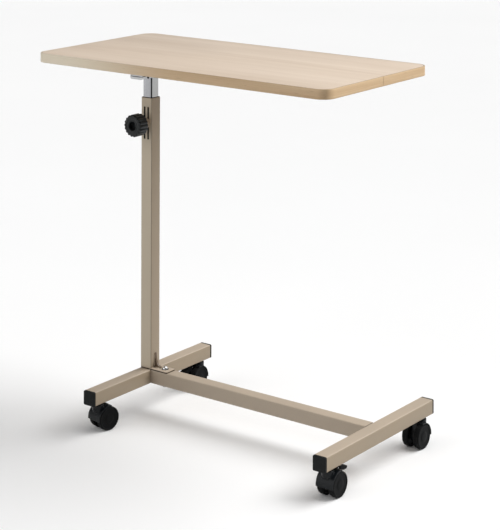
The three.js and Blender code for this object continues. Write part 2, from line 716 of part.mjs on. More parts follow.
function addCaster(tag, x, y, turnDegrees, withBrake) {
  const fixed = new THREE.Group(); // stays with the leg
  const swivel = new THREE.Group();
  for (const group of [fixed, swivel]) {
    group.position.set(x, y, LEG_BOTTOM_Z);
    baseGroup.add(group);
  }
  swivel.rotation.z = radians(turnDegrees);

  const add = (group, part, geometry, makeMaterial) =>
    place(group, `caster_${tag}_${part}`, geometry, makeMaterial);
  add(fixed, "insert", turned(insertProfile, 16), steel);
  add(fixed, "stem", turned(stemProfile, 16), steel);
  add(swivel, "body", casterBody(withBrake), blackPlastic);
  const axle = alongX(turned(axleProfile, 16)).translate(0, AXLE_Y, AXLE_Z);
  add(swivel, "axle", axle, steel);
  for (const [hand, side] of [["left", -1], ["right", 1]]) {
    const wheel = turned(wheelProfile, 28).rotateY((side * Math.PI) / 2);
    add(swivel, `wheel_${hand}`, wheel.translate(0, AXLE_Y, AXLE_Z), blackTread);
  }
  if (withBrake) {
    const pin = alongX(rod(PIN_R, -6.1, 6.1, 12)).translate(0, LEVER_Y, LEVER_Z);
    add(swivel, "brake_lever", brakeLever(), blackPlastic);
    add(swivel, "brake_pin", pin, steel);
  }
}

addCaster("front_left", COLUMN_X, -CASTER_Y, FRONT_LEFT_SWIVEL, false);
addCaster("front_right", RIGHT_LEG_X, -CASTER_Y, 0, true);
addCaster("back_left", COLUMN_X, CASTER_Y, 180, true);
addCaster("back_right", RIGHT_LEG_X, CASTER_Y, 180, false);

export default object;
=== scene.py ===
"""Looks of the overbed table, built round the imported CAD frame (Blender 4.5)."""

import math

import bmesh
import bpy
import numpy as np
from mathutils import Matrix, Vector


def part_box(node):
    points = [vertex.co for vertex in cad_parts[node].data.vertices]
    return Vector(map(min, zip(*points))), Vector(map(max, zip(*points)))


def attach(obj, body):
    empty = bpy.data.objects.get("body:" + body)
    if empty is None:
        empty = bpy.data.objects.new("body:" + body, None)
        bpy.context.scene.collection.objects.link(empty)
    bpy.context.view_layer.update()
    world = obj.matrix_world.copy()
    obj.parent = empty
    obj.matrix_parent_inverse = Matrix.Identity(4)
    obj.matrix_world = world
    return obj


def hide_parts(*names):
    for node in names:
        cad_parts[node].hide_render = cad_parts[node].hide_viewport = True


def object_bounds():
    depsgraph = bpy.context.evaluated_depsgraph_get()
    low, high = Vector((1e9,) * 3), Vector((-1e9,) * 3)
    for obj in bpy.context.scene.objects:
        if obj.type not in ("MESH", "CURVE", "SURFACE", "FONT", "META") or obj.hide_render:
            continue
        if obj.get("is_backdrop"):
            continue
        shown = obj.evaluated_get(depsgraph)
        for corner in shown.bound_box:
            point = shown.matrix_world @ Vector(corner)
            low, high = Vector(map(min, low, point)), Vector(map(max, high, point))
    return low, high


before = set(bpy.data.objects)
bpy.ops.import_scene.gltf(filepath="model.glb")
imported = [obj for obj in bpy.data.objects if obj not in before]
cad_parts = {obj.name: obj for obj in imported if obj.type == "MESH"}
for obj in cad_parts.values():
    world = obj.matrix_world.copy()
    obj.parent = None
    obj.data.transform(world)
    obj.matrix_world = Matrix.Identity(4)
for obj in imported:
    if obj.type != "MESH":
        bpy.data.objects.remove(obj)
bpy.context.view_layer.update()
MM = 0.001
pi = math.pi
scene = bpy.context.scene


def box(node):
    lo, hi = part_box(node)
    return np.array(lo) / MM, np.array(hi) / MM


# ------------------------------------------------------------------ mesh helpers (millimetres)
def signed_volume(V, F):
    v = 0.0
    for f in F:
        a = V[f[0]]
        for i in range(1, len(f) - 1):
            v += np.dot(a, np.cross(V[f[i]], V[f[i + 1]]))
    return v / 6


def outward(V, F):
    V = np.asarray(V, float)
    if signed_volume(V - V.mean(0), F) < 0:
        F = [tuple(reversed(f)) for f in F]
    return V, F


def loft(rings, loop=False, caps=True):
    """Joins equal rings of points into walls. loop: the last ring joins the first. caps: flat ends."""
    rings = [np.asarray(r, float) for r in rings]
    n, k = len(rings[0]), len(rings)
    V = np.concatenate(rings)
    F = []
    for a in range(k if loop else k - 1):
        b = (a + 1) % k
        for i in range(n):
            j = (i + 1) % n
            F.append((a * n + i, a * n + j, b * n + j, b * n + i))
    if caps and not loop:
        F.append(tuple(reversed(range(n))))
        F.append(tuple(range((k - 1) * n, k * n)))
    return outward(V, F)


def round_rect(w, h, r, steps=6):
    p = []
    r = max(r, 0.01)
    for cx, cy, a0 in (
        (w / 2 - r, h / 2 - r, 0),
        (-w / 2 + r, h / 2 - r, 90),
        (-w / 2 + r, -h / 2 + r, 180),
        (w / 2 - r, -h / 2 + r, 270),
    ):
        for i in range(steps + 1):
            a = math.radians(a0 + 90 * i / steps)
            p.append((cx + r * math.cos(a), cy + r * math.sin(a)))
    return np.array(p)


def circle(r, n, phase=0.0):
    a = phase + 2 * pi * np.arange(n) / n
    return np.c_[r * np.cos(a), r * np.sin(a)]


def at_z(p2, z):
    return np.c_[p2, np.full(len(p2), float(z))]


def slab(w, h, r, z0, z1, edge, steps=6, n=3):
    """A plate with a rounded-rectangle outline and softly rounded rims, along +Z."""
    rings = []
    for i in range(n + 1):
        a = pi / 2 * i / n
        d = edge * (1 - math.sin(a))
        rings.append(at_z(round_rect(w - 2 * d, h - 2 * d, r - d, steps), z0 + edge * (1 - math.cos(a))))
    for i in range(n + 1):
        a = pi / 2 * (1 - i / n)
        d = edge * (1 - math.sin(a))
        rings.append(at_z(round_rect(w - 2 * d, h - 2 * d, r - d, steps), z1 - edge * (1 - math.cos(a))))
    return loft(rings)


def square_tube(w, wall, r, z0, z1, rim=0.25, steps=6, cuts=0):
    """An open square tube along +Z with softened rims."""
    ro, ri = (w, r), (w - 2 * wall, max(r - wall, 0.5))
    zs = [z0 + rim] + list(np.linspace(z0 + rim, z1 - rim, cuts + 2)[1:-1]) + [z1 - rim]
    rings = [at_z(round_rect(ro[0], ro[0], ro[1], steps), z) for z in zs]
    rings.append(at_z(round_rect(ro[0] - 2 * rim, ro[0] - 2 * rim, ro[1] - rim, steps), z1))
    rings.append(at_z(round_rect(ri[0], ri[0], ri[1], steps), z1))
    rings.append(at_z(round_rect(ri[0], ri[0], ri[1], steps), z0))
    rings.append(at_z(round_rect(ro[0] - 2 * rim, ro[0] - 2 * rim, ro[1] - rim, steps), z0))
    return loft(rings, loop=True)


def lathe(profile, n=48):
    """A body of revolution about +Z. profile: [radius, z], starting and ending on the axis, or a closed ring."""
    V, F, rows = [], [], []
    for r, z in profile:
        if r < 1e-6:
            rows.append([len(V)])
            V.append((0, 0, z))
        else:
            rows.append(list(range(len(V), len(V) + n)))
            V.extend((x, y, z) for x, y in circle(r, n))
    pairs = list(zip(rows, rows[1:]))
    if profile[0][0] > 1e-6 and profile[-1][0] > 1e-6:
        pairs.append((rows[-1], rows[0]))
    for a, b in pairs:
        for i in range(n):
            j = (i + 1) % n
            if len(a) == 1 and len(b) == 1:
                continue
            if len(a) == 1:
                F.append((a[0], b[j], b[i]))
            elif len(b) == 1:
                F.append((a[i], a[j], b[0]))
            else:
                F.append((a[i], a[j], b[j], b[i]))
    return outward(V, F)


def rounded(profile, radii, n=4):
    """Rounds the corners of an open [r, z] polyline. radii: one per point, 0 leaves it sharp."""
    P = [np.array(p, float) for p in profile]
    out = [P[0]]
    for i in range(1, len(P) - 1):
        r = radii[i]
        a, b, c = P[i - 1], P[i], P[i + 1]
        if r <= 0:
            out.append(b)
            continue
        u, v = (a - b), (c - b)
        lu, lv = np.linalg.norm(u), np.linalg.norm(v)
        u, v = u / lu, v / lv
        ang = math.acos(max(-1, min(1, float(u @ v))))
        if ang > pi - 0.05:
            out.append(b)
            continue
        t = min(r / math.tan(ang / 2), lu * 0.48, lv * 0.48)
        rr = t * math.tan(ang / 2)
        m = (u + v) / np.linalg.norm(u + v)
        centre = b + m * rr / math.sin(ang / 2)
        p0, p1 = b + u * t, b + v * t
        a0 = math.atan2(*(p0 - centre)[::-1])
        a1 = math.atan2(*(p1 - centre)[::-1])
        d = (a1 - a0 + pi) % (2 * pi) - pi
        for k in range(n + 1):
            aa = a0 + d * k / n
            out.append(centre + rr * np.array([math.cos(aa), math.sin(aa)]))
    out.append(P[-1])
    return [tuple(p) for p in out]


def rounded_loop(points, r, n=4):
    """Rounds every corner of a closed outline."""
    P = list(points)
    Q = [P[-1]] + P + [P[0]]
    radii = [0] + (list(r) if hasattr(r, "__len__") else [r] * len(P)) + [0]
    return np.array(rounded(Q, radii, n)[1:-1])


def turn(V, axis, deg):
    """Rotates points about a world axis through the origin."""
    m = np.array(Matrix.Rotation(math.radians(deg), 3, axis))
    return np.asarray(V) @ m.T


def along_x(V):
    V = np.asarray(V)
    return np.c_[V[:, 2], V[:, 0], V[:, 1]]  # z -> x, x -> y, y -> z


def along_y(V):
    V = np.asarray(V)
    return np.c_[V[:, 1], V[:, 2], V[:, 0]]  # z -> y, x -> z, y -> x


def raw_object(name, V, F):
    me = bpy.data.meshes.new(name)
    me.from_pydata((np.asarray(V) * MM).tolist(), [], [tuple(int(i) for i in f) for f in F])
    me.update()
    o = bpy.data.objects.new(name, me)
    scene.collection.objects.link(o)
    return o


def baked(o):
    """Applies an object's modifiers to its mesh."""
    bpy.context.view_layer.update()
    dg = bpy.context.evaluated_depsgraph_get()
    me = bpy.data.meshes.new_from_object(o.evaluated_get(dg), depsgraph=dg)
    old = o.data
    o.modifiers.clear()
    o.data = me
    if old.users == 0:
        bpy.data.meshes.remove(old)
    return o


def drop(o):
    me = o.data
    bpy.data.objects.remove(o)
    if me.users == 0:
        bpy.data.meshes.remove(me)


def boolean(o, others, op="DIFFERENCE"):
    tools = [raw_object("tool", V, F) for V, F in others]
    for t in tools:
        m = o.modifiers.new("b", "BOOLEAN")
        m.operation, m.solver, m.object = op, "EXACT", t
    baked(o)
    for t in tools:
        drop(t)
    return o


def bevelled(o, width, angle=35, segments=2):
    m = o.modifiers.new("bevel", "BEVEL")
    m.width, m.segments, m.limit_method = width * MM, segments, "ANGLE"
    m.angle_limit = math.radians(angle)
    m.harden_normals = False
    return baked(o)


def voxel_melt(o, voxel, smooth=4, factor=0.5):
    """Melts overlapping closed shells into one moulded body with soft edges."""
    m = o.modifiers.new("remesh", "REMESH")
    m.mode, m.voxel_size, m.adaptivity = "VOXEL", voxel * MM, 0.0
    s = o.modifiers.new("smooth", "SMOOTH")
    s.iterations, s.factor = smooth, factor
    return baked(o)


def shade(o, angle=32):
    me = o.data
    me.polygons.foreach_set("use_smooth", [True] * len(me.polygons))
    me.set_sharp_from_angle(angle=math.radians(angle))
    me.update()
    return o


def finish_piece(o, mat, body, replaces=(), angle=32):
    shade(o, angle)
    o.data.materials.clear()
    for m in mat if isinstance(mat, (list, tuple)) else [mat]:
        o.data.materials.append(m)
    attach(o, body)
    if replaces:
        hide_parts(*replaces)
    return o


def piece(name, VF, mat, body, replaces=(), angle=32, shift=(0, 0, 0)):
    V, F = VF
    o = raw_object(name, np.asarray(V) + np.array(shift, float), F)
    return finish_piece(o, mat, body, replaces, angle)


# ------------------------------------------------------------------ material helpers
class Nodes:
    def __init__(self, name):
        self.mat = bpy.data.materials.new(name)
        self.mat.use_nodes = True
        self.t = self.mat.node_tree
        self.bsdf = self.t.nodes["Principled BSDF"]
        self.coord = self.t.nodes.new("ShaderNodeTexCoord")
        self.base = None

    def link(self, a, b):
        self.t.links.new(a, b)

    def mapped(self, scale=(1, 1, 1), rot=(0, 0, 0), loc=(0, 0, 0), source="Object"):
        m = self.t.nodes.new("ShaderNodeMapping")
        m.inputs["Scale"].default_value = scale
        m.inputs["Rotation"].default_value = rot
        m.inputs["Location"].default_value = loc
        self.link(self.base or self.coord.outputs[source], m.inputs["Vector"])
        return m.outputs["Vector"]

    def xyz(self, socket):
        n = self.t.nodes.new("ShaderNodeSeparateXYZ")
        self.link(socket, n.inputs[0])
        return n.outputs

    def normal(self):
        return self.xyz(self.t.nodes.new("ShaderNodeNewGeometry").outputs["Normal"])

    def wrap(self):
        """Makes every later mapping run along a strip that goes round a rectangle, with its height as Y."""
        p, n = self.xyz(self.coord.outputs["Object"]), self.normal()
        short = self.ramp(self.math("ABSOLUTE", n[0]), 0.60, 0.80)
        along = self.math("ADD", self.math("MULTIPLY", self.math("ADD", p[1], 0.83), short), self.math("MULTIPLY", p[0], self.math("SUBTRACT", 1.0, short)))
        c = self.t.nodes.new("ShaderNodeCombineXYZ")
        self.link(along, c.inputs[0])
        self.link(p[2], c.inputs[1])
        self.base = c.outputs[0]
        return p, n

    def noise(self, vector, scale, detail=3.0, rough=0.5, distortion=0.0):
        n = self.t.nodes.new("ShaderNodeTexNoise")
        n.inputs["Scale"].default_value = scale
        n.inputs["Detail"].default_value = detail
        n.inputs["Roughness"].default_value = rough
        n.inputs["Distortion"].default_value = distortion
        self.link(vector, n.inputs["Vector"])
        return n.outputs["Fac"]

    def voronoi(self, vector, scale, feature="F1"):
        n = self.t.nodes.new("ShaderNodeTexVoronoi")
        n.feature = feature
        n.inputs["Scale"].default_value = scale
        self.link(vector, n.inputs["Vector"])
        return n.outputs["Distance"]

    def wave(self, vector, scale, distortion, detail=2.0, dscale=1.0, direction="Y"):
        n = self.t.nodes.new("ShaderNodeTexWave")
        n.wave_type, n.bands_direction = "BANDS", direction
        n.inputs["Scale"].default_value = scale
        n.inputs["Distortion"].default_value = distortion
        n.inputs["Detail"].default_value = detail
        n.inputs["Detail Scale"].default_value = dscale
        self.link(vector, n.inputs["Vector"])
        return n.outputs["Fac"]

    def math(self, op, a, b=None, c=None, clamp=False):
        n = self.t.nodes.new("ShaderNodeMath")
        n.operation, n.use_clamp = op, clamp
        for i, x in enumerate((a, b, c)):
            if x is None:
                continue
            if isinstance(x, (int, float)):
                n.inputs[i].default_value = x
            else:
                self.link(x, n.inputs[i])
        return n.outputs[0]

    def ramp(self, fac, lo, hi, out_lo=0.0, out_hi=1.0):
        n = self.t.nodes.new("ShaderNodeMapRange")
        n.inputs["From Min"].default_value = lo
        n.inputs["From Max"].default_value = hi
        n.inputs["To Min"].default_value = out_lo
        n.inputs["To Max"].default_value = out_hi
        n.interpolation_type = "SMOOTHSTEP"
        self.link(fac, n.inputs["Value"])
        return n.outputs["Result"]

    def mix(self, fac, a, b, mode="MIX"):
        n = self.t.nodes.new("ShaderNodeMix")
        n.data_type, n.blend_type = "RGBA", mode
        for socket, x in ((n.inputs[0], fac), (n.inputs[6], a), (n.inputs[7], b)):
            if isinstance(x, (int, float)):
                socket.default_value = x
            elif isinstance(x, (tuple, list)):
                socket.default_value = tuple(x) + ((1.0,) if len(x) == 3 else ())
            else:
                self.link(x, socket)
        return n.outputs[2]

    def bump(self, height, strength, distance, normal=None):
        n = self.t.nodes.new("ShaderNodeBump")
        n.inputs["Strength"].default_value = strength
        n.inputs["Distance"].default_value = distance
        self.link(height, n.inputs["Height"])
        if normal is not None:
            self.link(normal, n.inputs["Normal"])
        return n.outputs["Normal"]

    def edge_wear(self, radius, lo, hi):
        """1 on convex edges, 0 elsewhere, from the difference of a bevelled normal and the true one."""
        bev = self.t.nodes.new("ShaderNodeBevel")
        bev.samples = 4
        bev.inputs["Radius"].default_value = radius
        geo = self.t.nodes.new("ShaderNodeNewGeometry")
        dot = self.t.nodes.new("ShaderNodeVectorMath")
        dot.operation = "DOT_PRODUCT"
        self.link(bev.outputs["Normal"], dot.inputs[0])
        self.link(geo.outputs["Normal"], dot.inputs[1])
        return self.ramp(dot.outputs["Value"], hi, lo)

    def crevice(self, distance, lo, hi):
        """1 deep in inner corners, 0 on open faces: an ambient occlusion mask, used for painted shade."""
        ao = self.t.nodes.new("ShaderNodeAmbientOcclusion")
        ao.samples, ao.only_local = 6, False
        ao.inputs["Distance"].default_value = distance
        return self.ramp(ao.outputs["AO"], hi, lo)

    def pointiness(self, lo, hi):
        geo = self.t.nodes.new("ShaderNodeNewGeometry")
        return self.ramp(geo.outputs["Pointiness"], lo, hi)

    def set(self, **kw):
        for k, v in kw.items():
            s = self.bsdf.inputs[k.replace("_", " ")]
            if isinstance(v, (int, float)):
                s.default_value = v
            elif isinstance(v, (tuple, list)):
                s.default_value = tuple(v) + ((1.0,) if len(v) == 3 else ())
            else:
                self.link(v, s)
        return self.mat


def srgb(r, g, b):
    return tuple(
        (c / 12.92 if c <= 0.04045 else ((c + 0.055) / 1.055) ** 2.4)
        for c in (r / 255, g / 255, b / 255)
    )


def wood_laminate(name, base, dark, light, contrast=1.0, along="X", strip=None):
    """Printed beech decor: long soft streaks, a wandering growth figure, short fine flecks; on a strip, painted light
    that pales one end.
    """
    m = Nodes(name)
    if strip:
        pos, _ = m.wrap()
    rot = (0, 0, 0) if along == "X" else (0, 0, pi / 2)
    soft = m.noise(m.mapped((1.1, 16, 16), rot), 1.0, 4, 0.55, 0.25)
    streak = m.noise(m.mapped((2.6, 120, 120), rot, (3.1, 0.7, 0)), 1.0, 5, 0.62, 0.1)
    fine = m.noise(m.mapped((10, 620, 620), rot, (0.4, 5.2, 0)), 1.0, 3, 0.6)
    figure = m.wave(m.mapped((0.9, 7.5, 7.5), rot, (0.2, 0.45, 0)), 1.0, 7.0, 3.0, 0.55, "Y")
    fleck_v = m.mapped((34, 560, 560), rot, (0.1, 0.3, 0))
    flecks = m.ramp(m.noise(fleck_v, 1.0, 2, 0.5), 0.66, 0.76)
    a = m.mix(m.ramp(soft, 0.32, 0.7), dark, light)
    b = m.mix(m.math("MULTIPLY", m.ramp(streak, 0.36, 0.68), 0.55 * contrast), a, base)
    c = m.mix(m.math("MULTIPLY", m.ramp(figure, 0.15, 0.95), 0.14 * contrast), b, dark)
    d = m.mix(m.math("MULTIPLY", m.ramp(fine, 0.42, 0.7), 0.16 * contrast), c, dark)
    e = m.mix(
        m.math("MULTIPLY", flecks, 0.34 * contrast),
        d,
        tuple(x * 0.62 for x in dark),
    )
    if strip:  # painted light: the strip grows paler towards its left end, standing in for the light and sheen that fall there
        e = m.mix(m.math("MULTIPLY", m.ramp(pos[0], 0.02, -0.33), 0.80), e, strip)
    smudge = m.noise(m.mapped((5, 5, 5)), 1.0, 4, 0.6)
    rough = m.math("ADD", m.ramp(smudge, 0.3, 0.72, 0.40, 0.50), m.math("MULTIPLY", fine, 0.06))
    h = m.math("ADD", m.math("MULTIPLY", fine, 0.5), m.math("MULTIPLY", flecks, -0.6))
    grain = m.bump(h, 0.05 if strip else 0.22, 0.00012)
    orange = m.bump(m.noise(m.mapped((420, 420, 420)), 1.0, 2), 0.02 if strip else 0.06, 0.0002, grain)
    return m.set(Base_Color=e, Roughness=rough, Normal=orange, Specular_IOR_Level=0.42)


def powder_coat(name, colour, dark, light):
    """Low-sheen powder coat: fine orange peel, faint drift in tone, thinner and lighter on edges, light scuffs, painted
    shade in creases.
    """
    m = Nodes(name)
    drift = m.noise(m.mapped((7, 7, 7)), 1.0, 3, 0.5)
    speck = m.noise(m.mapped((900, 900, 900)), 1.0, 2, 0.6)
    col = m.mix(m.ramp(drift, 0.3, 0.7), dark, light)
    col = m.mix(0.5, col, colour)
    col = m.mix(m.math("MULTIPLY", m.ramp(speck, 0.45, 0.75), 0.10), col, tuple(min(1, x * 1.35) for x in colour))
    wear = m.edge_wear(0.0016, 0.93, 0.995)
    col = m.mix(m.math("MULTIPLY", wear, 0.22), col, tuple(min(1, x * 1.22) for x in colour))
    scuff_v = m.mapped((60, 60, 340), (0.5, 0.25, 0.1))
    scuff = m.math("MULTIPLY", m.ramp(m.noise(scuff_v, 1.0, 5, 0.7), 0.66, 0.78), m.ramp(m.noise(m.mapped((9, 9, 9), loc=(4, 1, 2)), 1.0, 2), 0.52, 0.66))
    col = m.mix(m.math("MULTIPLY", scuff, 0.16), col, tuple(x * 0.7 for x in colour))
    # painted shade: the colour darkens towards brown in creases and inner corners, where shade falls
    col = m.mix(m.math("MULTIPLY", m.crevice(0.010, 0.35, 0.80), 0.72), col, tuple(x * k for x, k in zip(colour, (0.30, 0.25, 0.20))))
    rough = m.math("ADD", m.ramp(drift, 0.3, 0.7, 0.36, 0.44), m.math("MULTIPLY", scuff, 0.14))
    peel = m.noise(m.mapped((520, 520, 520)), 1.0, 2, 0.5)
    broad = m.noise(m.mapped((120, 120, 120)), 1.0, 2, 0.5)
    n = m.bump(peel, 0.16, 0.00018)
    n = m.bump(broad, 0.05, 0.0006, n)
    return m.set(Base_Color=col, Roughness=rough, Normal=n, Specular_IOR_Level=0.45, Metallic=0.0)


def moulded_black(name, colour, rough_lo, rough_hi, grain=520, strength=0.18, wear_light=2.0, spec=0.2, hollow=0.0):
    """Moulded black plastic: spark-eroded grain, rubbed shine on edges, faint dust in patches, optional painted shade
    in the hollows.
    """
    m = Nodes(name)
    blotch = m.noise(m.mapped((26, 26, 26)), 1.0, 4, 0.55)
    fine = m.noise(m.mapped((grain, grain, grain)), 1.0, 2, 0.55)
    col = m.mix(m.ramp(blotch, 0.3, 0.7), tuple(x * 0.82 for x in colour), tuple(x * 1.2 for x in colour))
    wear = m.edge_wear(0.0012, 0.90, 0.99)
    col = m.mix(m.math("MULTIPLY", wear, 0.5), col, tuple(x * wear_light for x in colour))
    dust = m.math("MULTIPLY", m.ramp(m.noise(m.mapped((75, 75, 75), loc=(2, 3, 1)), 1.0, 5, 0.65), 0.55, 0.8), 0.03)
    col = m.mix(dust, col, (0.20, 0.195, 0.185))
    rough = m.ramp(blotch, 0.25, 0.75, rough_lo, rough_hi)
    rough = m.math("SUBTRACT", rough, m.math("MULTIPLY", wear, 0.10))
    if hollow:  # painted shade: the hollows of the moulding are darkened and their specular dimmed
        deep = m.math("MULTIPLY", m.crevice(0.014, 0.15, 0.75), hollow)
        col = m.mix(deep, col, tuple(x * 0.2 for x in colour))
        spec = m.math("MULTIPLY", m.math("SUBTRACT", 1.0, deep), spec)
    return m.set(Base_Color=col, Roughness=rough, Normal=m.bump(fine, strength, 0.0002), Specular_IOR_Level=spec)


def plated(name, colour, rough, brush=(1, 1, 1), brush_scale=400, bump=0.05, tarnish=(0.45, 0.43, 0.4), amount=0.12):
    """Bright plating over steel: drawn lines along the piece, cloudy roughness, slight tarnish."""
    m = Nodes(name)
    cloud = m.noise(m.mapped((14, 14, 14)), 1.0, 4, 0.55)
    lines = m.noise(m.mapped(tuple(brush_scale * b for b in brush)), 1.0, 3, 0.6)
    col = m.mix(m.math("MULTIPLY", m.ramp(cloud, 0.45, 0.8), amount), colour, tarnish)
    r = m.math("ADD", m.ramp(cloud, 0.3, 0.75, rough, rough * 1.6 + 0.02), m.math("MULTIPLY", lines, rough * 0.35))
    return m.set(Base_Color=col, Metallic=1.0, Roughness=r, Normal=m.bump(lines, bump, 0.00008))


# colours, linear
PAINT = (0.500, 0.412, 0.318)
M_TOP = wood_laminate("laminate_beech", (0.735, 0.606, 0.487), (0.655, 0.528, 0.412), (0.775, 0.650, 0.530))
M_BAND = wood_laminate("edge_band_tan", (0.690, 0.490, 0.295), (0.545, 0.355, 0.195), (0.775, 0.580, 0.365), 1.7, strip=(1.0, 0.91, 0.74))
M_PAINT = powder_coat("champagne_powder_coat", PAINT, tuple(x * 0.93 for x in PAINT), tuple(x * 1.05 for x in PAINT))
M_CHROME = plated("chromium_plate", (0.415, 0.42, 0.43), 0.11, (1, 1, 0.02), 900, 0.02, (0.36, 0.35, 0.34), 0.08)


def tint_faces(mat, axis, sign, tint):
    """Multiply the colour of the faces that look along one axis. A lighting aid, not a property of the surface."""
    t = mat.node_tree
    geo = t.nodes.new("ShaderNodeNewGeometry")
    sep = t.nodes.new("ShaderNodeSeparateXYZ")
    t.links.new(geo.outputs["Normal"], sep.inputs[0])
    r = t.nodes.new("ShaderNodeMapRange")
    r.interpolation_type = "SMOOTHSTEP"
    r.inputs["From Min"].default_value, r.inputs["From Max"].default_value = 0.55 * sign, 0.95 * sign
    t.links.new(sep.outputs[axis], r.inputs["Value"])
    bsdf = t.nodes["Principled BSDF"]
    src = bsdf.inputs["Base Color"].links[0].from_socket
    mix = t.nodes.new("ShaderNodeMix")
    mix.data_type, mix.blend_type = "RGBA", "MULTIPLY"
    t.links.new(r.outputs["Result"], mix.inputs[0])
    t.links.new(src, mix.inputs[6])
    mix.inputs[7].default_value = (*tint, 1.0)
    t.links.new(mix.outputs[2], bsdf.inputs["Base Color"])


def painted_corner_shade(mat, factor, lo=0.80, hi=0.995):
    """Painted reflection and shade: darkens the colour where the normal turns away from the X and Y axes, as on the
    rounded corners of a bright square tube, standing in for the dark part of the room.
    """
    t = mat.node_tree
    geo = t.nodes.new("ShaderNodeNewGeometry")
    sep = t.nodes.new("ShaderNodeSeparateXYZ")
    t.links.new(geo.outputs["Normal"], sep.inputs[0])
    ax, ay, mx = (t.nodes.new("ShaderNodeMath") for _ in range(3))
    ax.operation = ay.operation = "ABSOLUTE"
    mx.operation = "MAXIMUM"
    t.links.new(sep.outputs["X"], ax.inputs[0])
    t.links.new(sep.outputs["Y"], ay.inputs[0])
    t.links.new(ax.outputs[0], mx.inputs[0])
    t.links.new(ay.outputs[0], mx.inputs[1])
    r = t.nodes.new("ShaderNodeMapRange")
    r.interpolation_type = "SMOOTHSTEP"
    r.inputs["From Min"].default_value, r.inputs["From Max"].default_value = lo, hi
    r.inputs["To Min"].default_value, r.inputs["To Max"].default_value = factor, 1.0
    t.links.new(mx.outputs[0], r.inputs["Value"])
    bsdf = t.nodes["Principled BSDF"]
    src = bsdf.inputs["Base Color"].links[0].from_socket
    mix = t.nodes.new("ShaderNodeMix")
    mix.data_type, mix.blend_type = "RGBA", "MULTIPLY"
    mix.inputs[0].default_value = 1.0
    t.links.new(src, mix.inputs[6])
    t.links.new(r.outputs["Result"], mix.inputs[7])
    t.links.new(mix.outputs[2], bsdf.inputs["Base Color"])


# painted reflection on the chrome: its rounded corners nearly black, its front faces darker, its right faces warmer
painted_corner_shade(M_CHROME, 0.03, 0.86, 0.9999)
# painted light and shade on the edge band: its top and bottom rims darker, its right faces brighter
painted_corner_shade(M_BAND, 0.72, 0.72, 0.995)
tint_faces(M_BAND, 0, 1, (1.12, 1.15, 1.16))
tint_faces(M_CHROME, 1, -1, (0.84, 0.84, 0.855))
tint_faces(M_CHROME, 0, 1, (0.96, 0.955, 0.92))
# painted shade: the champagne paint is darker on faces that look to the right
tint_faces(M_PAINT, 0, 1, (0.80, 0.77, 0.70))
# a lit and shaded copy of the paint for the column: painted shade on its rounded corners and right faces, painted sheen
# on its front faces
M_COLUMN = powder_coat("champagne_powder_coat_column", PAINT, tuple(x * 0.93 for x in PAINT), tuple(x * 1.05 for x in PAINT))
painted_corner_shade(M_COLUMN, 0.70, 0.80, 0.999)
tint_faces(M_COLUMN, 1, -1, (1.20, 1.25, 1.24))
tint_faces(M_COLUMN, 0, 1, (0.84, 0.82, 0.77))
# painted shade: the gusset gets a darkened copy of the champagne paint
PAINT_SHADED = tuple(x * k for x, k in zip(PAINT, (0.30, 0.25, 0.20)))
M_GUSSET = powder_coat("champagne_powder_coat_painted_shade", PAINT_SHADED, tuple(x * 0.85 for x in PAINT_SHADED), tuple(x * 1.15 for x in PAINT_SHADED))
M_ZINC = plated("zinc_plate", (0.53, 0.535, 0.54), 0.26, (1, 0.1, 1), 300, 0.06)
M_STEEL = plated("fastener_steel", (0.56, 0.56, 0.57), 0.24, (1, 1, 1), 700, 0.08, (0.32, 0.29, 0.25), 0.3)
M_BOLT = plated("bright_bolt", (0.72, 0.72, 0.72), 0.16, (1, 1, 1), 900, 0.04)
M_CAP = moulded_black("moulded_cap_black", (0.0135, 0.0150, 0.0150), 0.42, 0.56, spec=0.10)
# the knob and the hood take painted shade in their hollows
M_KNOB = moulded_black("moulded_knob_black", (0.0092, 0.0118, 0.0126), 0.26, 0.38, 420, 0.12, spec=0.26, hollow=0.4)
M_HOOD = moulded_black("caster_hood_black", (0.0070, 0.0088, 0.0105), 0.20, 0.30, 380, 0.10, spec=0.20, hollow=0.7)
M_WHEEL = moulded_black("caster_wheel_black", (0.0082, 0.0086, 0.0090), 0.42, 0.56, 300, 0.14, spec=0.06)
M_PEDAL = moulded_black("caster_pedal_black", (0.0062, 0.0070, 0.0078), 0.40, 0.52, 420, 0.12, spec=0.05)
M_LINER_AND_SHADE = moulded_black("liner_and_shade_black", (0.006, 0.006, 0.006), 0.50, 0.65, 500, 0.10, spec=0.05)
M_NYLON = moulded_black("natural_nylon", (0.70, 0.68, 0.62), 0.40, 0.5, 400, 0.08, 1.05, spec=0.4)
M_WELD = plated("painted_weld", PAINT, 0.42, (1, 1, 1), 500, 0.25, tuple(x * 0.75 for x in PAINT), 0.4)
M_WELD.node_tree.nodes["Principled BSDF"].inputs["Metallic"].default_value = 0.0

# ------------------------------------------------------------------ tabletop
T0, T1 = box("edge_band")
P0, P1 = box("tabletop_panel")
top_c = (T0 + T1) / 2
TL, TD = T1[0] - T0[0], T1[1] - T0[1]
BT = P0[0] - T0[0]  # band thickness
CORNER = 28.0

V, F = slab(TL - 2 * BT - 1.5, TD - 2 * BT - 1.5, CORNER - BT - 0.75, P0[2], P1[2] - 0.02, 0.22, 24, 2)
V[:, 0] += top_c[0]
piece("tabletop_board", (V, F), M_TOP, "tabletop", ["tabletop_panel"], 40)


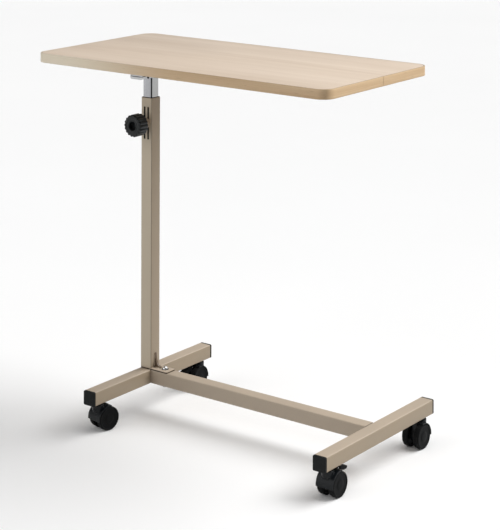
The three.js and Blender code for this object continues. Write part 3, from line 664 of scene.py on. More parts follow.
def band_strip():
    """The edge band: one strip that runs round the board and butts against itself on the right short side."""
    # outline of the board's outer edge as points and outward normals, starting at the seam
    seam_y = 11.0
    pts, nrm = [], []

    def line(a, b, n, k):
        for i in range(k):
            t = i / k
            pts.append((a[0] + (b[0] - a[0]) * t, a[1] + (b[1] - a[1]) * t))
            nrm.append(n)

    def arc(cx, cy, a0, k):
        for i in range(k):
            a = math.radians(a0 + 90 * i / k)
            pts.append((cx + CORNER * math.cos(a), cy + CORNER * math.sin(a)))
            nrm.append((math.cos(a), math.sin(a)))

    X, Y, R = TL / 2, TD / 2, CORNER
    gap = 0.9
    line((X, seam_y + gap / 2), (X, Y - R), (1, 0), 6)
    arc(X - R, Y - R, 0, 24)
    line((X - R, Y), (-X + R, Y), (0, 1), 24)
    arc(-X + R, Y - R, 90, 24)
    line((-X, Y - R), (-X, -Y + R), (-1, 0), 12)
    arc(-X + R, -Y + R, 180, 24)
    line((-X + R, -Y), (X - R, -Y), (0, -1), 24)
    arc(X - R, -Y + R, 270, 24)
    line((X, -Y + R), (X, seam_y - gap / 2), (1, 0), 8)
    pts.append((X, seam_y - gap / 2))
    nrm.append((1, 0))
    z0, z1 = T0[2], T1[2]
    section = rounded_loop(
        [(BT, z0), (0, z0), (0, z1), (BT, z1)], [0.05, 1.5, 1.5, 0.05], 5
    )
    # a hair of chamfer at both ends, so that the butt seam reads as a fine line
    rings = []
    for k, ((x, y), (nx, ny)) in enumerate(zip(pts, nrm)):
        inset = 0.12 if k in (0, len(pts) - 1) else 0.0
        ring = []
        for d, z in section:
            dd = max(d, inset) if d < BT / 2 else d
            ring.append((x - nx * dd + top_c[0], y - ny * dd, z))
        rings.append(ring)
    return loft(rings)


piece("edge_band_strip", band_strip(), M_BAND, "tabletop", ["edge_band"], 40)
M_JOINT = moulded_black("joint_glue", (0.062, 0.040, 0.024), 0.5, 0.6, 500, 0.1, 1.1)
rings = []
for z, d in ((P0[2] + 0.1, -0.02), (P1[2] - 0.12, -0.02), (P1[2] - 0.12, 0.81), (P0[2] + 0.1, 0.81)):
    rings.append(at_z(round_rect(TL - 2 * BT - 2 * d, TD - 2 * BT - 2 * d, CORNER - BT - d, 24), z))
V, F = loft(rings, loop=True)
piece("band_glue_line", (V + [top_c[0], 0, 0], F), M_JOINT, "tabletop")
# glue line that shows in the butt seam of the band
V, F = slab(1.5, T1[2] - T0[2] - 1.6, 0.3, -0.75, 0.0, 0.15, 3, 2)
V = np.c_[V[:, 2] + T1[0] - 0.55, V[:, 0] + 11.0, V[:, 1] + top_c[2]]
M_GLUE = moulded_black("glue_line", (0.085, 0.055, 0.030), 0.5, 0.6, 500, 0.1, 1.1)
piece("band_seam_glue", outward(V, F), M_GLUE, "tabletop")

# ------------------------------------------------------------------ bracket under the top
B0, B1 = box("top_bracket")
bc = (B0 + B1) / 2
I0, I1 = box("inner_column")
CX = (I0[0] + I1[0]) / 2
t = 2.5
half, fl = 15.5, (B1[0] - B0[0]) / 2
zt, zb = B1[2], B0[2]


def hat_section():
    """The folded sheet's outline in XZ, bends rounded inside and outside."""
    outer = [(-fl, zt), (-fl, zt - t), (-half, zt - t), (-half, zb), (half, zb), (half, zt - t), (fl, zt - t), (fl, zt)]
    inner = [(half - t, zt), (half - t, zb + t), (-half + t, zb + t), (-half + t, zt)]
    r = [0.3, 0.8, 1.2, 3.4, 3.4, 1.2, 0.8, 0.3, 2.6, 1.2, 1.2, 2.6]
    return rounded_loop(outer + inner, r, 5)


sec = hat_section()
y0, y1 = B0[1], B1[1]
rings = []
cen = sec.mean(0)
for y, d in ((y0, 0.25), (y0 + 0.25, 0), (y1 - 0.25, 0), (y1, 0.25)):
    nxt, prv = np.roll(sec, -1, 0), np.roll(sec, 1, 0)
    tan = nxt - prv
    nor = np.c_[tan[:, 1], -tan[:, 0]]
    nor /= np.linalg.norm(nor, axis=1)[:, None]
    area = 0.5 * np.sum(sec[:, 0] * nxt[:, 1] - nxt[:, 0] * sec[:, 1])
    s2 = sec - nor * d * (1 if area > 0 else -1)
    rings.append(np.c_[s2[:, 0] + CX, np.full(len(sec), y), s2[:, 1]])
V, F = loft(rings)
bracket = raw_object("top_bracket_channel", V, F)
tools = []
for sx in (-24, 24):
    for sy in (-38, 38):
        tools.append((lathe([(0, zt - 6), (2.4, zt - 6), (2.4, zt + 3), (0, zt + 3)], 32)[0] + [CX + sx, sy, 0], lathe([(0, zt - 6), (2.4, zt - 6), (2.4, zt + 3), (0, zt + 3)], 32)[1]))
for sy in (-28, 28):
    Vh, Fh = lathe([(0, -22), (3.2, -22), (3.2, 22), (0, 22)], 32)
    tools.append((along_x(Vh) + [CX, sy, zb + t + 4.2], Fh))
Vs, Fs = loft([at_z(round_rect(25.4, 25.4, 1.8, 4), zb - 3), at_z(round_rect(25.4, 25.4, 1.8, 4), zb + t + 2)])
tools.append((Vs + [CX, 0, 0], Fs))
boolean(bracket, tools)
finish_piece(bracket, M_ZINC, "tabletop", ["top_bracket"])

for k, (ya, yb) in enumerate(((B0[1] + 0.3, B0[1] + t), (B1[1] - t, B1[1] - 0.3))):
    V, F = slab(2 * half - 0.7, zt - zb - 0.9, 2.9, ya, yb, 0.35, 6, 3)
    V = np.c_[V[:, 0] + CX, V[:, 2], V[:, 1] + (zt + zb) / 2]
    piece(f"bracket_end_plate_{k + 1}", outward(V, F), M_ZINC, "tabletop")

# painted shadow: a black band round the channel under the fold, standing in for the shadow line under the tabletop
rings = []
for z, d in ((zb + 5.6, -0.14), (zb + 7.0, -0.14), (zb + 7.0, 0.6), (zb + 5.6, 0.6)):
    rings.append(at_z(round_rect(2 * half - 2 * d, B1[1] - B0[1] - 2 * d, 1.0, 4), z))
V, F = loft(rings, loop=True)
M_SHADOW_BAND_AND_RIVETS = moulded_black("shadow_band_and_rivet_black", (0.014, 0.013, 0.012), 0.6, 0.75, 700, 0.3, spec=0.04)
piece("bracket_shadow_band", (V + [CX, (B0[1] + B1[1]) / 2, 0], F), M_SHADOW_BAND_AND_RIVETS, "tabletop")

# blackened rivets low in the two cheeks
for k, (s, y) in enumerate(((-1, -28), (1, -28), (-1, 28), (1, 28))):
    V, F = lathe(rounded([(0, 0), (3.1, 0), (3.1, 0.9), (2.2, 1.9), (0, 2.2)], [0, 0.1, 0.5, 0.8, 0]), 40)
    V = along_x(V) * [s, 1, 1] + [CX + s * (half - 0.1), y, zb + 3.4]
    piece(f"bracket_rivet_{k + 1}", outward(V, F), M_SHADOW_BAND_AND_RIVETS, "tabletop")

# fillet of weld where the tube passes through the web
def bead(path, r, seed, closed=False, lump=0.18, squash=(1, 1, 1)):
    """A weld bead: a rippled tube of small lapped ridges along a path of points."""
    P = [np.array(p, float) for p in path]
    seg = []
    n = len(P)
    for i in range(n if closed else n - 1):
        a, b = P[i], P[(i + 1) % n]
        k = max(2, int(np.linalg.norm(b - a) / 0.45))
        for j in range(k):
            seg.append(a + (b - a) * j / k)
    if not closed:
        seg.append(P[-1])
    rng = np.random.default_rng(seed)
    phase = rng.uniform(0, 6)
    rings = []
    m = len(seg)
    for i, p in enumerate(seg):
        q = seg[(i + 1) % m] if (closed or i < m - 1) else p + (p - seg[i - 1])
        o = seg[i - 1] if (closed or i > 0) else p - (q - p)
        d = q - o
        d /= np.linalg.norm(d)
        u = np.cross(d, [0.31, 0.52, 0.79])
        u /= np.linalg.norm(u)
        w = np.cross(d, u)
        s = i * 0.45
        rr = r * (1 + lump * math.sin(2 * pi * s / 2.1 + phase) + 0.06 * math.sin(s * 0.9 + phase))
        if not closed and i in (0, m - 1):
            rr *= 0.45
        rings.append([p + rr * (math.cos(a) * u + math.sin(a) * w) for a in np.linspace(0, 2 * pi, 12, endpoint=False)])
    return loft(rings, loop=closed, caps=not closed)


h = 12.5
piece(
    "bracket_weld",
    bead([(CX - h + 2, -h - 0.2, zb - 0.1), (CX + h - 2, -h - 0.2, zb - 0.1), (CX + h + 0.2, -h + 2, zb - 0.1), (CX + h + 0.2, h - 2, zb - 0.1), (CX + h - 2, h + 0.2, zb - 0.1), (CX - h + 2, h + 0.2, zb - 0.1), (CX - h - 0.2, h - 2, zb - 0.1), (CX - h - 0.2, -h + 2, zb - 0.1)], 0.9, 3, True),
    M_ZINC,
    "tabletop",
)


def cross_tool(size, depth, width, z):
    """Two crossed tapered blades that cut a screw's cross recess, pointing down from z + 1."""
    out = []
    for w, l in ((width, size), (size, width)):
        rings = [
            at_z(round_rect(w * 1.05, l * 1.05, 0.12, 2), z + 1),
            at_z(round_rect(w, l, 0.12, 2), z),
            at_z(round_rect(w * 0.6, l * 0.45, 0.1, 2), z - depth),
        ]
        out.append(loft(rings))
    return out


def screw_object(name, profile, recess, mat, body, rep, place, flip=False, n=32):
    V, F = lathe(profile, n)
    o = raw_object(name, V, F)
    if recess:
        boolean(o, cross_tool(*recess))
    me = o.data
    m = Matrix.Translation(Vector(place) * MM) @ (Matrix.Rotation(pi, 4, "X") if flip else Matrix.Identity(4))
    me.transform(m)
    return finish_piece(o, mat, body, rep)


for i, (sx, sy) in enumerate(((-24, -38), (24, -38), (-24, 38), (24, 38))):
    lo, hi = box(f"bracket_screw_{i + 1}")
    head = hi[2] - lo[2]
    # built upside down: the head's crown at z = 0 looks up, the shank goes down
    prof = rounded([(0, 0), (2.6, -0.15), (4.0, -1.1), (4.2, -2.3), (1.75, -2.68), (1.75, -head + 3), (0.25, -head + 0.1), (0, -head)], [0, 1.5, 0.8, 0.1, 0.2, 0, 0, 0])
    screw_object(f"wood_screw_{i + 1}", prof, (4.4, 2.0, 1.0, -0.2), M_STEEL, "tabletop", [f"bracket_screw_{i + 1}"], ((lo[0] + hi[0]) / 2, (lo[1] + hi[1]) / 2, lo[2]), flip=True)

# ------------------------------------------------------------------ sliding tube and column
V, F = square_tube(I1[0] - I0[0], 1.5, 3.8, I0[2], I1[2], 0.3, 8)
slider = raw_object("sliding_tube", V + [CX, 0, 0], F)
Vh, Fh = lathe([(0, -14.5), (3.0, -14.5), (3.0, -9), (0, -9)], 40)
boolean(slider, [(np.c_[Vh[:, 0] + CX, Vh[:, 2], Vh[:, 1] + zb - 3.7], Fh)])
finish_piece(slider, M_CHROME, "tabletop", ["inner_column"], 30)

# painted shade: a black plug in the hole of the sliding tube stands in for the unlit inside of the tube
V, F = lathe(rounded([(0, 0), (2.6, 0.0), (2.95, 0.3), (2.95, 2.2), (0, 2.2)], [0, 0.2, 0.2, 0.1, 0]), 40)
V, F = outward(np.c_[V[:, 0] + CX, V[:, 2] - 12.3, V[:, 1] + zb - 3.7], F)
piece("tube_hole_shade_plug", (V, F), M_LINER_AND_SHADE, "tabletop")

O0, O1 = box("outer_column")
V, F = square_tube(O1[0] - O0[0], 2.0, 2.5, O0[2], O1[2], 0.45, 8)
column = raw_object("column_tube", V + [CX, 0, 0], F)
SLIT_LOW, SLIT_HIGH = 592.0, 663.5
tools = []
for s in (-1, 1):
    out = round_rect(4.8, SLIT_HIGH - SLIT_LOW, 2.3, 6)
    Vt, Ft = loft([np.c_[out[:, 0] + CX + s * 4.95, np.full(len(out), y), out[:, 1] + (SLIT_LOW + SLIT_HIGH) / 2] for y in (-18, -12)])
    tools.append((Vt, Ft))
boolean(column, tools)
finish_piece(column, M_COLUMN, "base", ["outer_column"])

# black guide liner between the two tubes, with a thin rim on top of the column; the rim is part of the liner and also
# stands in for the shadow in the gap there, as painted shade
rings = []
for z, w, r in ((O1[2] - 110, 25.9, 0.7), (O1[2] + 0.02, 25.9, 0.7), (O1[2] + 0.02, 28.2, 1.7), (O1[2] + 0.55, 28.2, 1.7), (O1[2] + 0.85, 27.6, 1.5), (O1[2] + 0.85, 25.3, 2.4), (O1[2] + 0.4, 25.15, 2.6), (O1[2] - 110, 25.15, 2.6)):
    rings.append(at_z(round_rect(w, w, r, 6), z))
V, F = loft(rings, loop=True)
piece("guide_liner", (V + [CX, 0, 0], F), M_LINER_AND_SHADE, "base")

# painted shade: black inserts a little below the face of the two slits, standing in for the shade inside them
for k, s in enumerate((-1, 1)):
    rings = []
    for y, d in ((-12.2, 0.05), (-14.2, 0.05), (-14.45, 0.3)):
        out = round_rect(4.8 - 2 * d, SLIT_HIGH - SLIT_LOW - 2 * d, 2.3 - d, 6)
        rings.append(np.c_[out[:, 0] + CX + s * 4.95, np.full(len(out), y), out[:, 1] + (SLIT_LOW + SLIT_HIGH) / 2])
    piece(f"slit_shade_insert_{k + 1}", loft(rings), M_LINER_AND_SHADE, "base")

# threaded boss, with its ring of weld
K0, K1 = box("clamp_boss")
kz = (K0[2] + K1[2]) / 2
prof = rounded([(4.1, 0), (10, 0), (10, 7.98), (4.9, 7.98), (4.1, 7.2), (4.1, 0)], [0, 0.4, 0.7, 0.2, 0.2, 0])
V, F = lathe(prof[:-1], 48)
V = np.c_[V[:, 0], -V[:, 2], V[:, 1]]
piece("clamp_boss_ring", outward(V + [CX, K1[1], kz], F), M_PAINT, "base", ["clamp_boss"])
ring = [(CX + 10.1 * math.cos(a), K1[1] - 0.15, kz + 10.1 * math.sin(a)) for a in np.linspace(0, 2 * pi, 24, endpoint=False)]
piece("clamp_boss_weld", bead(ring, 0.8, 5, True), M_WELD, "base")

# ------------------------------------------------------------------ foot of the column
F0, F1 = box("foot_plate")
fc = (F0 + F1) / 2
# painted shadow: a thin black slab under the foot plate gives the dark line of shadow beneath its edge
V, F = slab(F1[0] - F0[0] - 0.1, F1[1] - F0[1] - 0.1, 2.9, F0[2], F0[2] + 1.25, 0.1, 6, 2)
piece("foot_plate_shadow_line", (V + [fc[0], fc[1], 0], F), M_LINER_AND_SHADE, "base")
V, F = slab(F1[0] - F0[0], F1[1] - F0[1], 3.0, F0[2] + 1.2, F1[2], 0.5, 6, 3)
plate = raw_object("foot_plate_steel", V + [fc[0], fc[1], 0], F)
bolt_x = (box("foot_bolt")[0][0] + box("foot_bolt")[1][0]) / 2
hole = lathe([(0, F0[2] - 3), (3.3, F0[2] - 3), (3.3, F1[2] + 3), (0, F1[2] + 3)], 32)
hole2 = lathe([(0, F0[2] - 3), (4.3, F0[2] - 3), (4.3, F1[2] + 3), (0, F1[2] + 3)], 32)
boolean(plate, [(hole[0] + [bolt_x, 0, 0], hole[1]), (hole2[0] + [CX, 0, 0], hole2[1])])
finish_piece(plate, M_PAINT, "base", ["foot_plate"])

G0, G1 = box("foot_gusset")
gx, gz, gw, gh = G0[0], G0[2], G1[0] - G0[0], G1[2] - G0[2]
side = []
for k in range(13):  # the hollowed long side
    a = pi / 2 * k / 12
    side.append((gx + gw - (gw - 1.2) * math.sin(a) ** 0.9, gz + 1.6 + (gh - 1.6) * (1 - math.cos(a)) ** 0.9))
outline = [(gx, gz), (gx + gw, gz)] + side + [(gx, gz + gh)]
th = G1[1] - G0[1]
rings = []
out = np.array(outline)
cc = out.mean(0)
for y, s in ((G0[1], 0.955), (G0[1] + 0.35, 0.985), (G0[1] + 0.9, 1), (G1[1] - 0.9, 1), (G1[1] - 0.35, 0.985), (G1[1], 0.955)):
    q = cc + (out - cc) * s
    q[:, 0] = np.maximum(q[:, 0], gx)
    q[:, 1] = np.maximum(q[:, 1], gz)
    rings.append(np.c_[q[:, 0], np.full(len(q), y), q[:, 1]])
piece("foot_gusset_rib", loft(rings), M_GUSSET, "base", ["foot_gusset"], 40)
zf = F1[2]
hh = 15.0
beads = {
    "column_foot_weld_front": [(CX - hh + 2, -hh + 0.15, zf + 0.1), (CX + hh - 2.5, -hh + 0.15, zf + 0.1)],
    "column_foot_weld_side": [(CX + hh - 0.1, -hh + 3, zf + 0.2), (CX + hh - 0.1, -3.2, zf + 0.2)],
    "column_foot_weld_side_2": [(CX + hh - 0.1, 3.2, zf + 0.2), (CX + hh - 0.1, hh - 3, zf + 0.2)],
    "column_foot_weld_back": [(CX + hh - 2.5, hh - 0.15, zf + 0.1), (CX - hh + 2, hh - 0.15, zf + 0.1)],
    "gusset_weld_left": [(gx + 2, G0[1] - 0.1, gz + 0.1), (gx + gw - 1, G0[1] - 0.1, gz + 0.1)],
    "gusset_weld_right": [(gx + 2, G1[1] + 0.1, gz + 0.1), (gx + gw - 1, G1[1] + 0.1, gz + 0.1)],
    "gusset_weld_up_left": [(gx + 0.1, G0[1] - 0.1, gz + 2), (gx + 0.1, G0[1] - 0.1, gz + gh - 4)],
    "gusset_weld_up_right": [(gx + 0.1, G1[1] + 0.1, gz + 2), (gx + 0.1, G1[1] + 0.1, gz + gh - 4)],
}
for k, (name, path) in enumerate(beads.items()):
    piece(name, bead(path, 0.85, 11 + k), M_WELD, "base")

# bolt through the foot plate and beam: bright domed head with a cross recess, hexagon nut below
lo, hi = box("foot_bolt")
L = hi[2] - lo[2]
prof = rounded([(0, 2.3), (2.6, 2.0), (5.1, 0.1), (6, -2.6), (5.95, -3.88), (2.9, -3.88), (2.9, -L + 0.8), (2.2, -L), (0, -L)], [0, 3, 2.2, 0.3, 0.1, 0.1, 0.3, 0.1, 0])
screw_object("foot_bolt_domed", prof, (6.2, 2.6, 1.3, 2.0), M_BOLT, "base", ["foot_bolt"], (bolt_x, 0, hi[2]), n=48)


# painted shadow: a thin black ring round the bolt head stands in for the contact shadow around it
V, F = lathe(rounded([(6.15, 0), (7.7, 0), (7.7, 0.5), (6.15, 0.5)], [0.05, 0.1, 0.2, 0.1]), 48)
M_BOLT_SHADOW_RING = moulded_black("bolt_shadow_ring_black", (0.020, 0.017, 0.014), 0.35, 0.5, 500, 0.1, spec=0.3)
piece("foot_bolt_shadow_ring", (V + [bolt_x, 0, F1[2]], F), M_BOLT_SHADOW_RING, "base")


def hexagon_nut(name, node, across_corners, hole_r, mat):
    lo, hi = box(node)
    c = (lo + hi) / 2
    z0, z1 = lo[2], hi[2]
    n = 48
    ang = 2 * pi * (np.arange(n) + 0.5) / n
    flat = across_corners * math.cos(pi / 6)
    # hexagon radius at each angle, turned to match the solid's corners
    hexr = flat / np.cos(((ang - pi / 6 + pi / 6) % (pi / 3)) - pi / 6)
    rings = []

    def ring(radius, z):
        return np.c_[radius * np.cos(ang), radius * np.sin(ang), np.full(n, z)]

    cham = np.minimum(hexr, flat * 1.03)
    rings += [ring(cham * 0.97, z0), ring(np.minimum(hexr, flat * 1.09), z0 + 0.35), ring(hexr, z0 + 0.9)]
    rings += [ring(hexr, z1 - 0.9), ring(np.minimum(hexr, flat * 1.09), z1 - 0.35), ring(cham * 0.97, z1)]
    rings += [ring(np.full(n, hole_r + 0.5), z1), ring(np.full(n, hole_r), z1 - 0.5), ring(np.full(n, hole_r), z0 + 0.5), ring(np.full(n, hole_r + 0.5), z0)]
    V, F = loft(rings, loop=True)
    return piece(name, (V + [c[0], c[1], 0], F), mat, "base", [node], 28)


hexagon_nut("foot_nut_hex", "foot_nut", 5.8, 3.1, M_STEEL)
hexagon_nut("column_nut_hex", "column_nut", 7.2, 4.2, M_STEEL)
lo, hi = box("column_bolt")
L = hi[2] - lo[2]
prof = rounded([(0, 0), (4.4, -0.1), (6.4, -2.0), (7, -4.3), (6.9, -4.58), (3.9, -4.58), (3.9, -L + 1), (3, -L), (0, -L)], [0, 1.5, 1.6, 0.3, 0.1, 0.1, 0.3, 0.1, 0])
screw_object("column_bolt_domed", prof, (7.2, 2.8, 1.6, -0.2), M_STEEL, "base", ["column_bolt"], (CX, 0, lo[2]), flip=True, n=48)
for i in (1, 2):
    lo, hi = box(f"beam_screw_{i}")
    L = hi[2] - lo[2]
    prof = rounded([(0, 0), (2.8, -0.2), (4.1, -1.2), (4.3, -2.7), (4.25, -2.88), (2.2, -2.88), (2.2, -L + 0.8), (0, -L)], [0, 1.5, 1, 0.2, 0.1, 0.1, 0.2, 0])
    screw_object(f"beam_screw_pan_{i}", prof, (4.6, 1.9, 1.0, -0.2), M_STEEL, "base", [f"beam_screw_{i}"], ((lo[0] + hi[0]) / 2, 0, lo[2]), flip=True)

# ------------------------------------------------------------------ base tubes
for node, name in (("left_leg", "left_leg_tube"), ("right_leg", "right_leg_tube")):
    lo, hi = box(node)
    V, F = square_tube(hi[0] - lo[0], 1.5, 2.6, lo[1] + 1.15, hi[1] - 1.15, 0.3, 8)
    V = along_y(V)
    V, F = outward(V + [(lo[0] + hi[0]) / 2, 0, (lo[2] + hi[2]) / 2], F)
    o = raw_object(name, V, F)
    tools = []
    for y in (-170, 170):
        c = lathe([(0, lo[2] - 3), (5.65, lo[2] - 3), (5.65, lo[2] + 4), (0, lo[2] + 4)], 32)
        tools.append((c[0] + [(lo[0] + hi[0]) / 2, y, 0], c[1]))
    if node == "left_leg":
        c = lathe([(0, lo[2] - 3), (4.3, lo[2] - 3), (4.3, hi[2] + 3), (0, hi[2] + 3)], 32)
        tools.append((c[0] + [CX, 0, 0], c[1]))
    boolean(o, tools)
    finish_piece(o, M_PAINT, "base", [node])

lo, hi = box("cross_beam")
V, F = square_tube(hi[1] - lo[1], 1.5, 2.6, lo[0], hi[0] - 0.7, 0.45, 8)
V = along_x(V)
V, F = outward(V + [0, 0, (lo[2] + hi[2]) / 2], F)
beam = raw_object("cross_beam_tube", V, F)
tools = []
c = lathe([(0, lo[2] - 3), (3.3, lo[2] - 3), (3.3, hi[2] + 3), (0, hi[2] + 3)], 32)
tools.append((c[0] + [bolt_x, 0, 0], c[1]))
for i in (1, 2):
    a, b = box(f"beam_screw_{i}")
    c = lathe([(0, lo[2] - 3), (2.7, lo[2] - 3), (2.7, lo[2] + 4), (0, lo[2] + 4)], 32)
    tools.append((c[0] + [(a[0] + b[0]) / 2, 0, 0], c[1]))
boolean(beam, tools)
finish_piece(beam, M_PAINT, "base", ["cross_beam"])
x = lo[0] - 0.1
zl, zh = lo[2], hi[2]
for k, (name, path) in enumerate(
    {
        "beam_weld_front": [(x, -15.0, zl + 2.5), (x, -15.0, zh - 3)],
        "beam_weld_back": [(x, 15.0, zh - 3), (x, 15.0, zl + 2.5)],
        "beam_weld_under": [(x, -12, zl + 0.05), (x, 12, zl + 0.05)],
    }.items()
):
    piece(name, bead(path, 0.95, 31 + k), M_WELD, "base")

# end caps: pillowed square face with a soft rim, thin shadow gap, plug inside the tube
for tag in ("front_left", "front_right", "back_left", "back_right"):
    lo, hi = box(f"end_cap_{tag}")
    front = tag.startswith("front")
    w = hi[0] - lo[0]
    rings = []
    for z, d, r in ((0, 2.6, 1.2), (0.12, 1.5, 1.8), (0.45, 0.6, 2.3), (1.0, 0.1, 2.6), (1.6, 0.0, 2.7), (5.35, 0.0, 2.7), (5.61, 0.18, 2.5)):
        rings.append(at_z(round_rect(w - 2 * d, w - 2 * d, r, 6), z))
    for z, s, r in ((5.61, 26.4, 1.2), (16.7, 26.3, 1.2), (18.0, 25.2, 1.0), (18.0, 22, 1.0), (6.9, 22, 1.0)):
        rings.append(at_z(round_rect(s, s, r, 6), z))
    V, F = loft(rings)
    V = along_y(V)
    if not front:
        V[:, 1] *= -1
    y = lo[1] if front else hi[1]
    V, F = outward(V + [(lo[0] + hi[0]) / 2, y, (lo[2] + hi[2]) / 2], F)
    piece(f"cap_{tag}", (V, F), M_CAP, "base", [f"end_cap_{tag}"], 30)

# ------------------------------------------------------------------ clamp knob
N0, N1 = box("clamp_knob")
face_y = box("outer_column")[0][1]


def knob():
    """Fluted grip with rounded rims, a cupped face and a neck: one skin from the bore round to the bore."""
    R, back, front = 24.3, 20.8, 47.8
    prof = []  # (radius, distance from the column face, how much flute)
    prof += [(4.35, 34.3, 0), (4.35, 11.4, 0), (4.7, 11.0, 0), (8.4, 11.0, 0), (9.0, 11.6, 0), (9.0, back - 2.4, 0)]
    for k in range(1, 6):  # fillet from neck to the back face
        a = pi / 2 * k / 5
        prof.append((9.0 + 2.4 * (1 - math.cos(a)), back - 2.4 + 2.4 * math.sin(a), 0))
    prof += [(14, back, 0), (19.0, back, 0.3), (21.0, back, 0.7)]
    for k in range(1, 7):
        a = pi / 2 * k / 6
        prof.append((21.6 + 2.7 * math.sin(a), back + 2.2 * (1 - math.cos(a)), 0.7 - 0.15 * k / 6))
    for z in np.linspace(back + 3.5, front - 4.0, 8):
        prof.append((R, z, 0.5 + 0.5 * ((z - back) / (front - 4 - back)) ** 3))
    for k in range(1, 9):
        a = pi / 2 * k / 8
        prof.append((R - 2.9 * (1 - math.cos(a)), front - 3.4 + 3.1 * math.sin(a), 1 - 0.15 * k / 8))
    prof += [(19.6, front - 0.12, 0.75), (18.4, front, 0.45), (17.2, front - 0.02, 0.15), (16.2, front - 0.12, 0), (15.4, front - 0.7, 0), (14.6, front - 0.8, 0), (13.8, front - 0.35, 0), (11.6, front - 0.3, 0)]
    for k in range(1, 5):  # rolled rim of the cup
        a = pi / 2 * k / 4
        prof.append((11.6 - 1.9 * math.sin(a), front - 0.3 - 1.9 * (1 - math.cos(a)), 0))
    prof += [(9.4, front - 5.0, 0), (9.1, front - 10.2, 0), (8.3, front - 10.9, 0), (5.2, front - 10.9, 0), (4.8, front - 10.5, 0), (3.0, front - 10.4, 0), (0, front - 10.4, 0)]
    n = 18 * 20
    ang = 2 * pi * np.arange(n) / n
    wave = (0.5 - 0.5 * np.cos(18 * ang)) ** 1.4
    V, F, rows = [], [], []
    rows.append([0])
    V.append((0, 0, 34.3))
    for r, z, fl in prof:
        if r < 1e-6:
            rows.append([len(V)])
            V.append((0, 0, z))
            continue
        rr = r - 2.2 * fl * wave
        rows.append(list(range(len(V), len(V) + n)))
        V.extend(zip(rr * np.cos(ang), rr * np.sin(ang), np.full(n, z)))
    for a, b in zip(rows, rows[1:]):
        for i in range(n):
            j = (i + 1) % n
            if len(a) == 1:
                F.append((a[0], b[j], b[i]))
            elif len(b) == 1:
                F.append((a[i], a[j], b[0]))
            else:
                F.append((a[i], a[j], b[j], b[i]))
    V = np.array(V, float)
    V = np.c_[V[:, 0], -V[:, 2], V[:, 1]]  # +Z of the profile points out of the face, towards -Y
    return outward(V + [CX, face_y, kz], F)


piece("clamp_knob_fluted", knob(), M_KNOB, "clamp_knob", ["clamp_knob"], 40)


def threaded(r, z0, z1, pitch, n=40):
    """A rod with a soft screw thread form, along +Z, with chamfered ends."""
    depth = 0.3 * pitch
    steps = int((z1 - z0) / (pitch / 8))
    V, rows = [], []
    ang = 2 * pi * np.arange(n) / n
    for k in range(steps + 1):
        z = z0 + (z1 - z0) * k / steps
        ph = 2 * pi * z / pitch
        end = min(1.0, (z - z0) / 1.2, (z1 - z) / 1.2)
        rr = r - depth * (0.5 + 0.5 * np.cos(ang - ph)) - (1 - end) * 0.5
        rows.append(list(range(len(V), len(V) + n)))
        V.extend(zip(rr * np.cos(ang), rr * np.sin(ang), np.full(n, z)))
    F = []
    for a, b in zip(rows, rows[1:]):
        for i in range(n):
            j = (i + 1) % n
            F.append((a[i], a[j], b[j], b[i]))
    F.append(tuple(reversed(rows[0])))
    F.append(tuple(rows[-1]))
    return outward(V, F)


V, F = threaded(3.9, 3.6, 34.0, 1.25)
V = np.c_[V[:, 0], -V[:, 2], V[:, 1]]
piece("clamp_screw", outward(V + [CX, face_y, kz], F), M_STEEL, "clamp_knob", ["clamp_stud"], 50)
prof = rounded([(0, 0.3), (3.2, 0.3), (3.85, 0.9), (3.85, 2.8), (3.4, 3.3), (0, 3.3)], [0, 0.3, 0.3, 0.3, 0.2, 0])
V, F = lathe(prof, 40)
V = np.c_[V[:, 0], -V[:, 2], V[:, 1]]
piece("nylon_tip", outward(V + [CX, face_y, kz], F), M_NYLON, "clamp_tip", ["pressure_tip"])

# ------------------------------------------------------------------ glide and sleeve, inside the tubes
lo, hi = box("column_glide")
rings = []
for z, s, r in ((0, 23.5, 1.2), (0.5, 25.0, 1.8), (1.2, 25.5, 2.0), (3.5, 25.5, 2.0), (4.0, 25.1, 1.8), (4.0, 21.6, 1.2), (19.5, 21.4, 1.2), (21.2, 20.2, 1.0), (21.2, 16.2, 1.0), (5.0, 16.0, 1.0)):
    rings.append(at_z(round_rect(s, s, r, 5), lo[2] + z))
V, F = loft(rings)
piece("column_glide_plug", (V + [CX, 0, 0], F), M_CAP, "tabletop", ["column_glide"])
lo, hi = box("beam_spigot")
V, F = square_tube(hi[1] - lo[1], 2.0, 1.6, lo[0], hi[0], 0.3, 6)
V, F = outward(along_x(V) + [0, 0, (lo[2] + hi[2]) / 2], F)
piece("beam_sleeve", (V, F), M_STEEL, "base", ["beam_spigot"])

# ------------------------------------------------------------------ casters
leg_z = box("left_leg")[0][2]
WHEEL_R = 25.0
TRAIL, DROP = 16.0, leg_z - WHEEL_R


def polar(r, a):
    """Angle from straight up about the axle, positive towards the swivel axis."""
    a = math.radians(a)
    return (TRAIL - r * math.sin(a), -DROP + r * math.cos(a))


def plate_yz(points, x0, x1, edge=0.0, steps=1):
    p = np.array(points, float)
    return loft([np.c_[np.full(len(p), x), p] for x in (x0, x1)])


def shells(parts):
    V, F, k = [], [], 0
    for v, f in parts:
        V.append(np.asarray(v, float))
        F += [tuple(i + k for i in t) for t in f]
        k += len(v)
    return np.concatenate(V), F


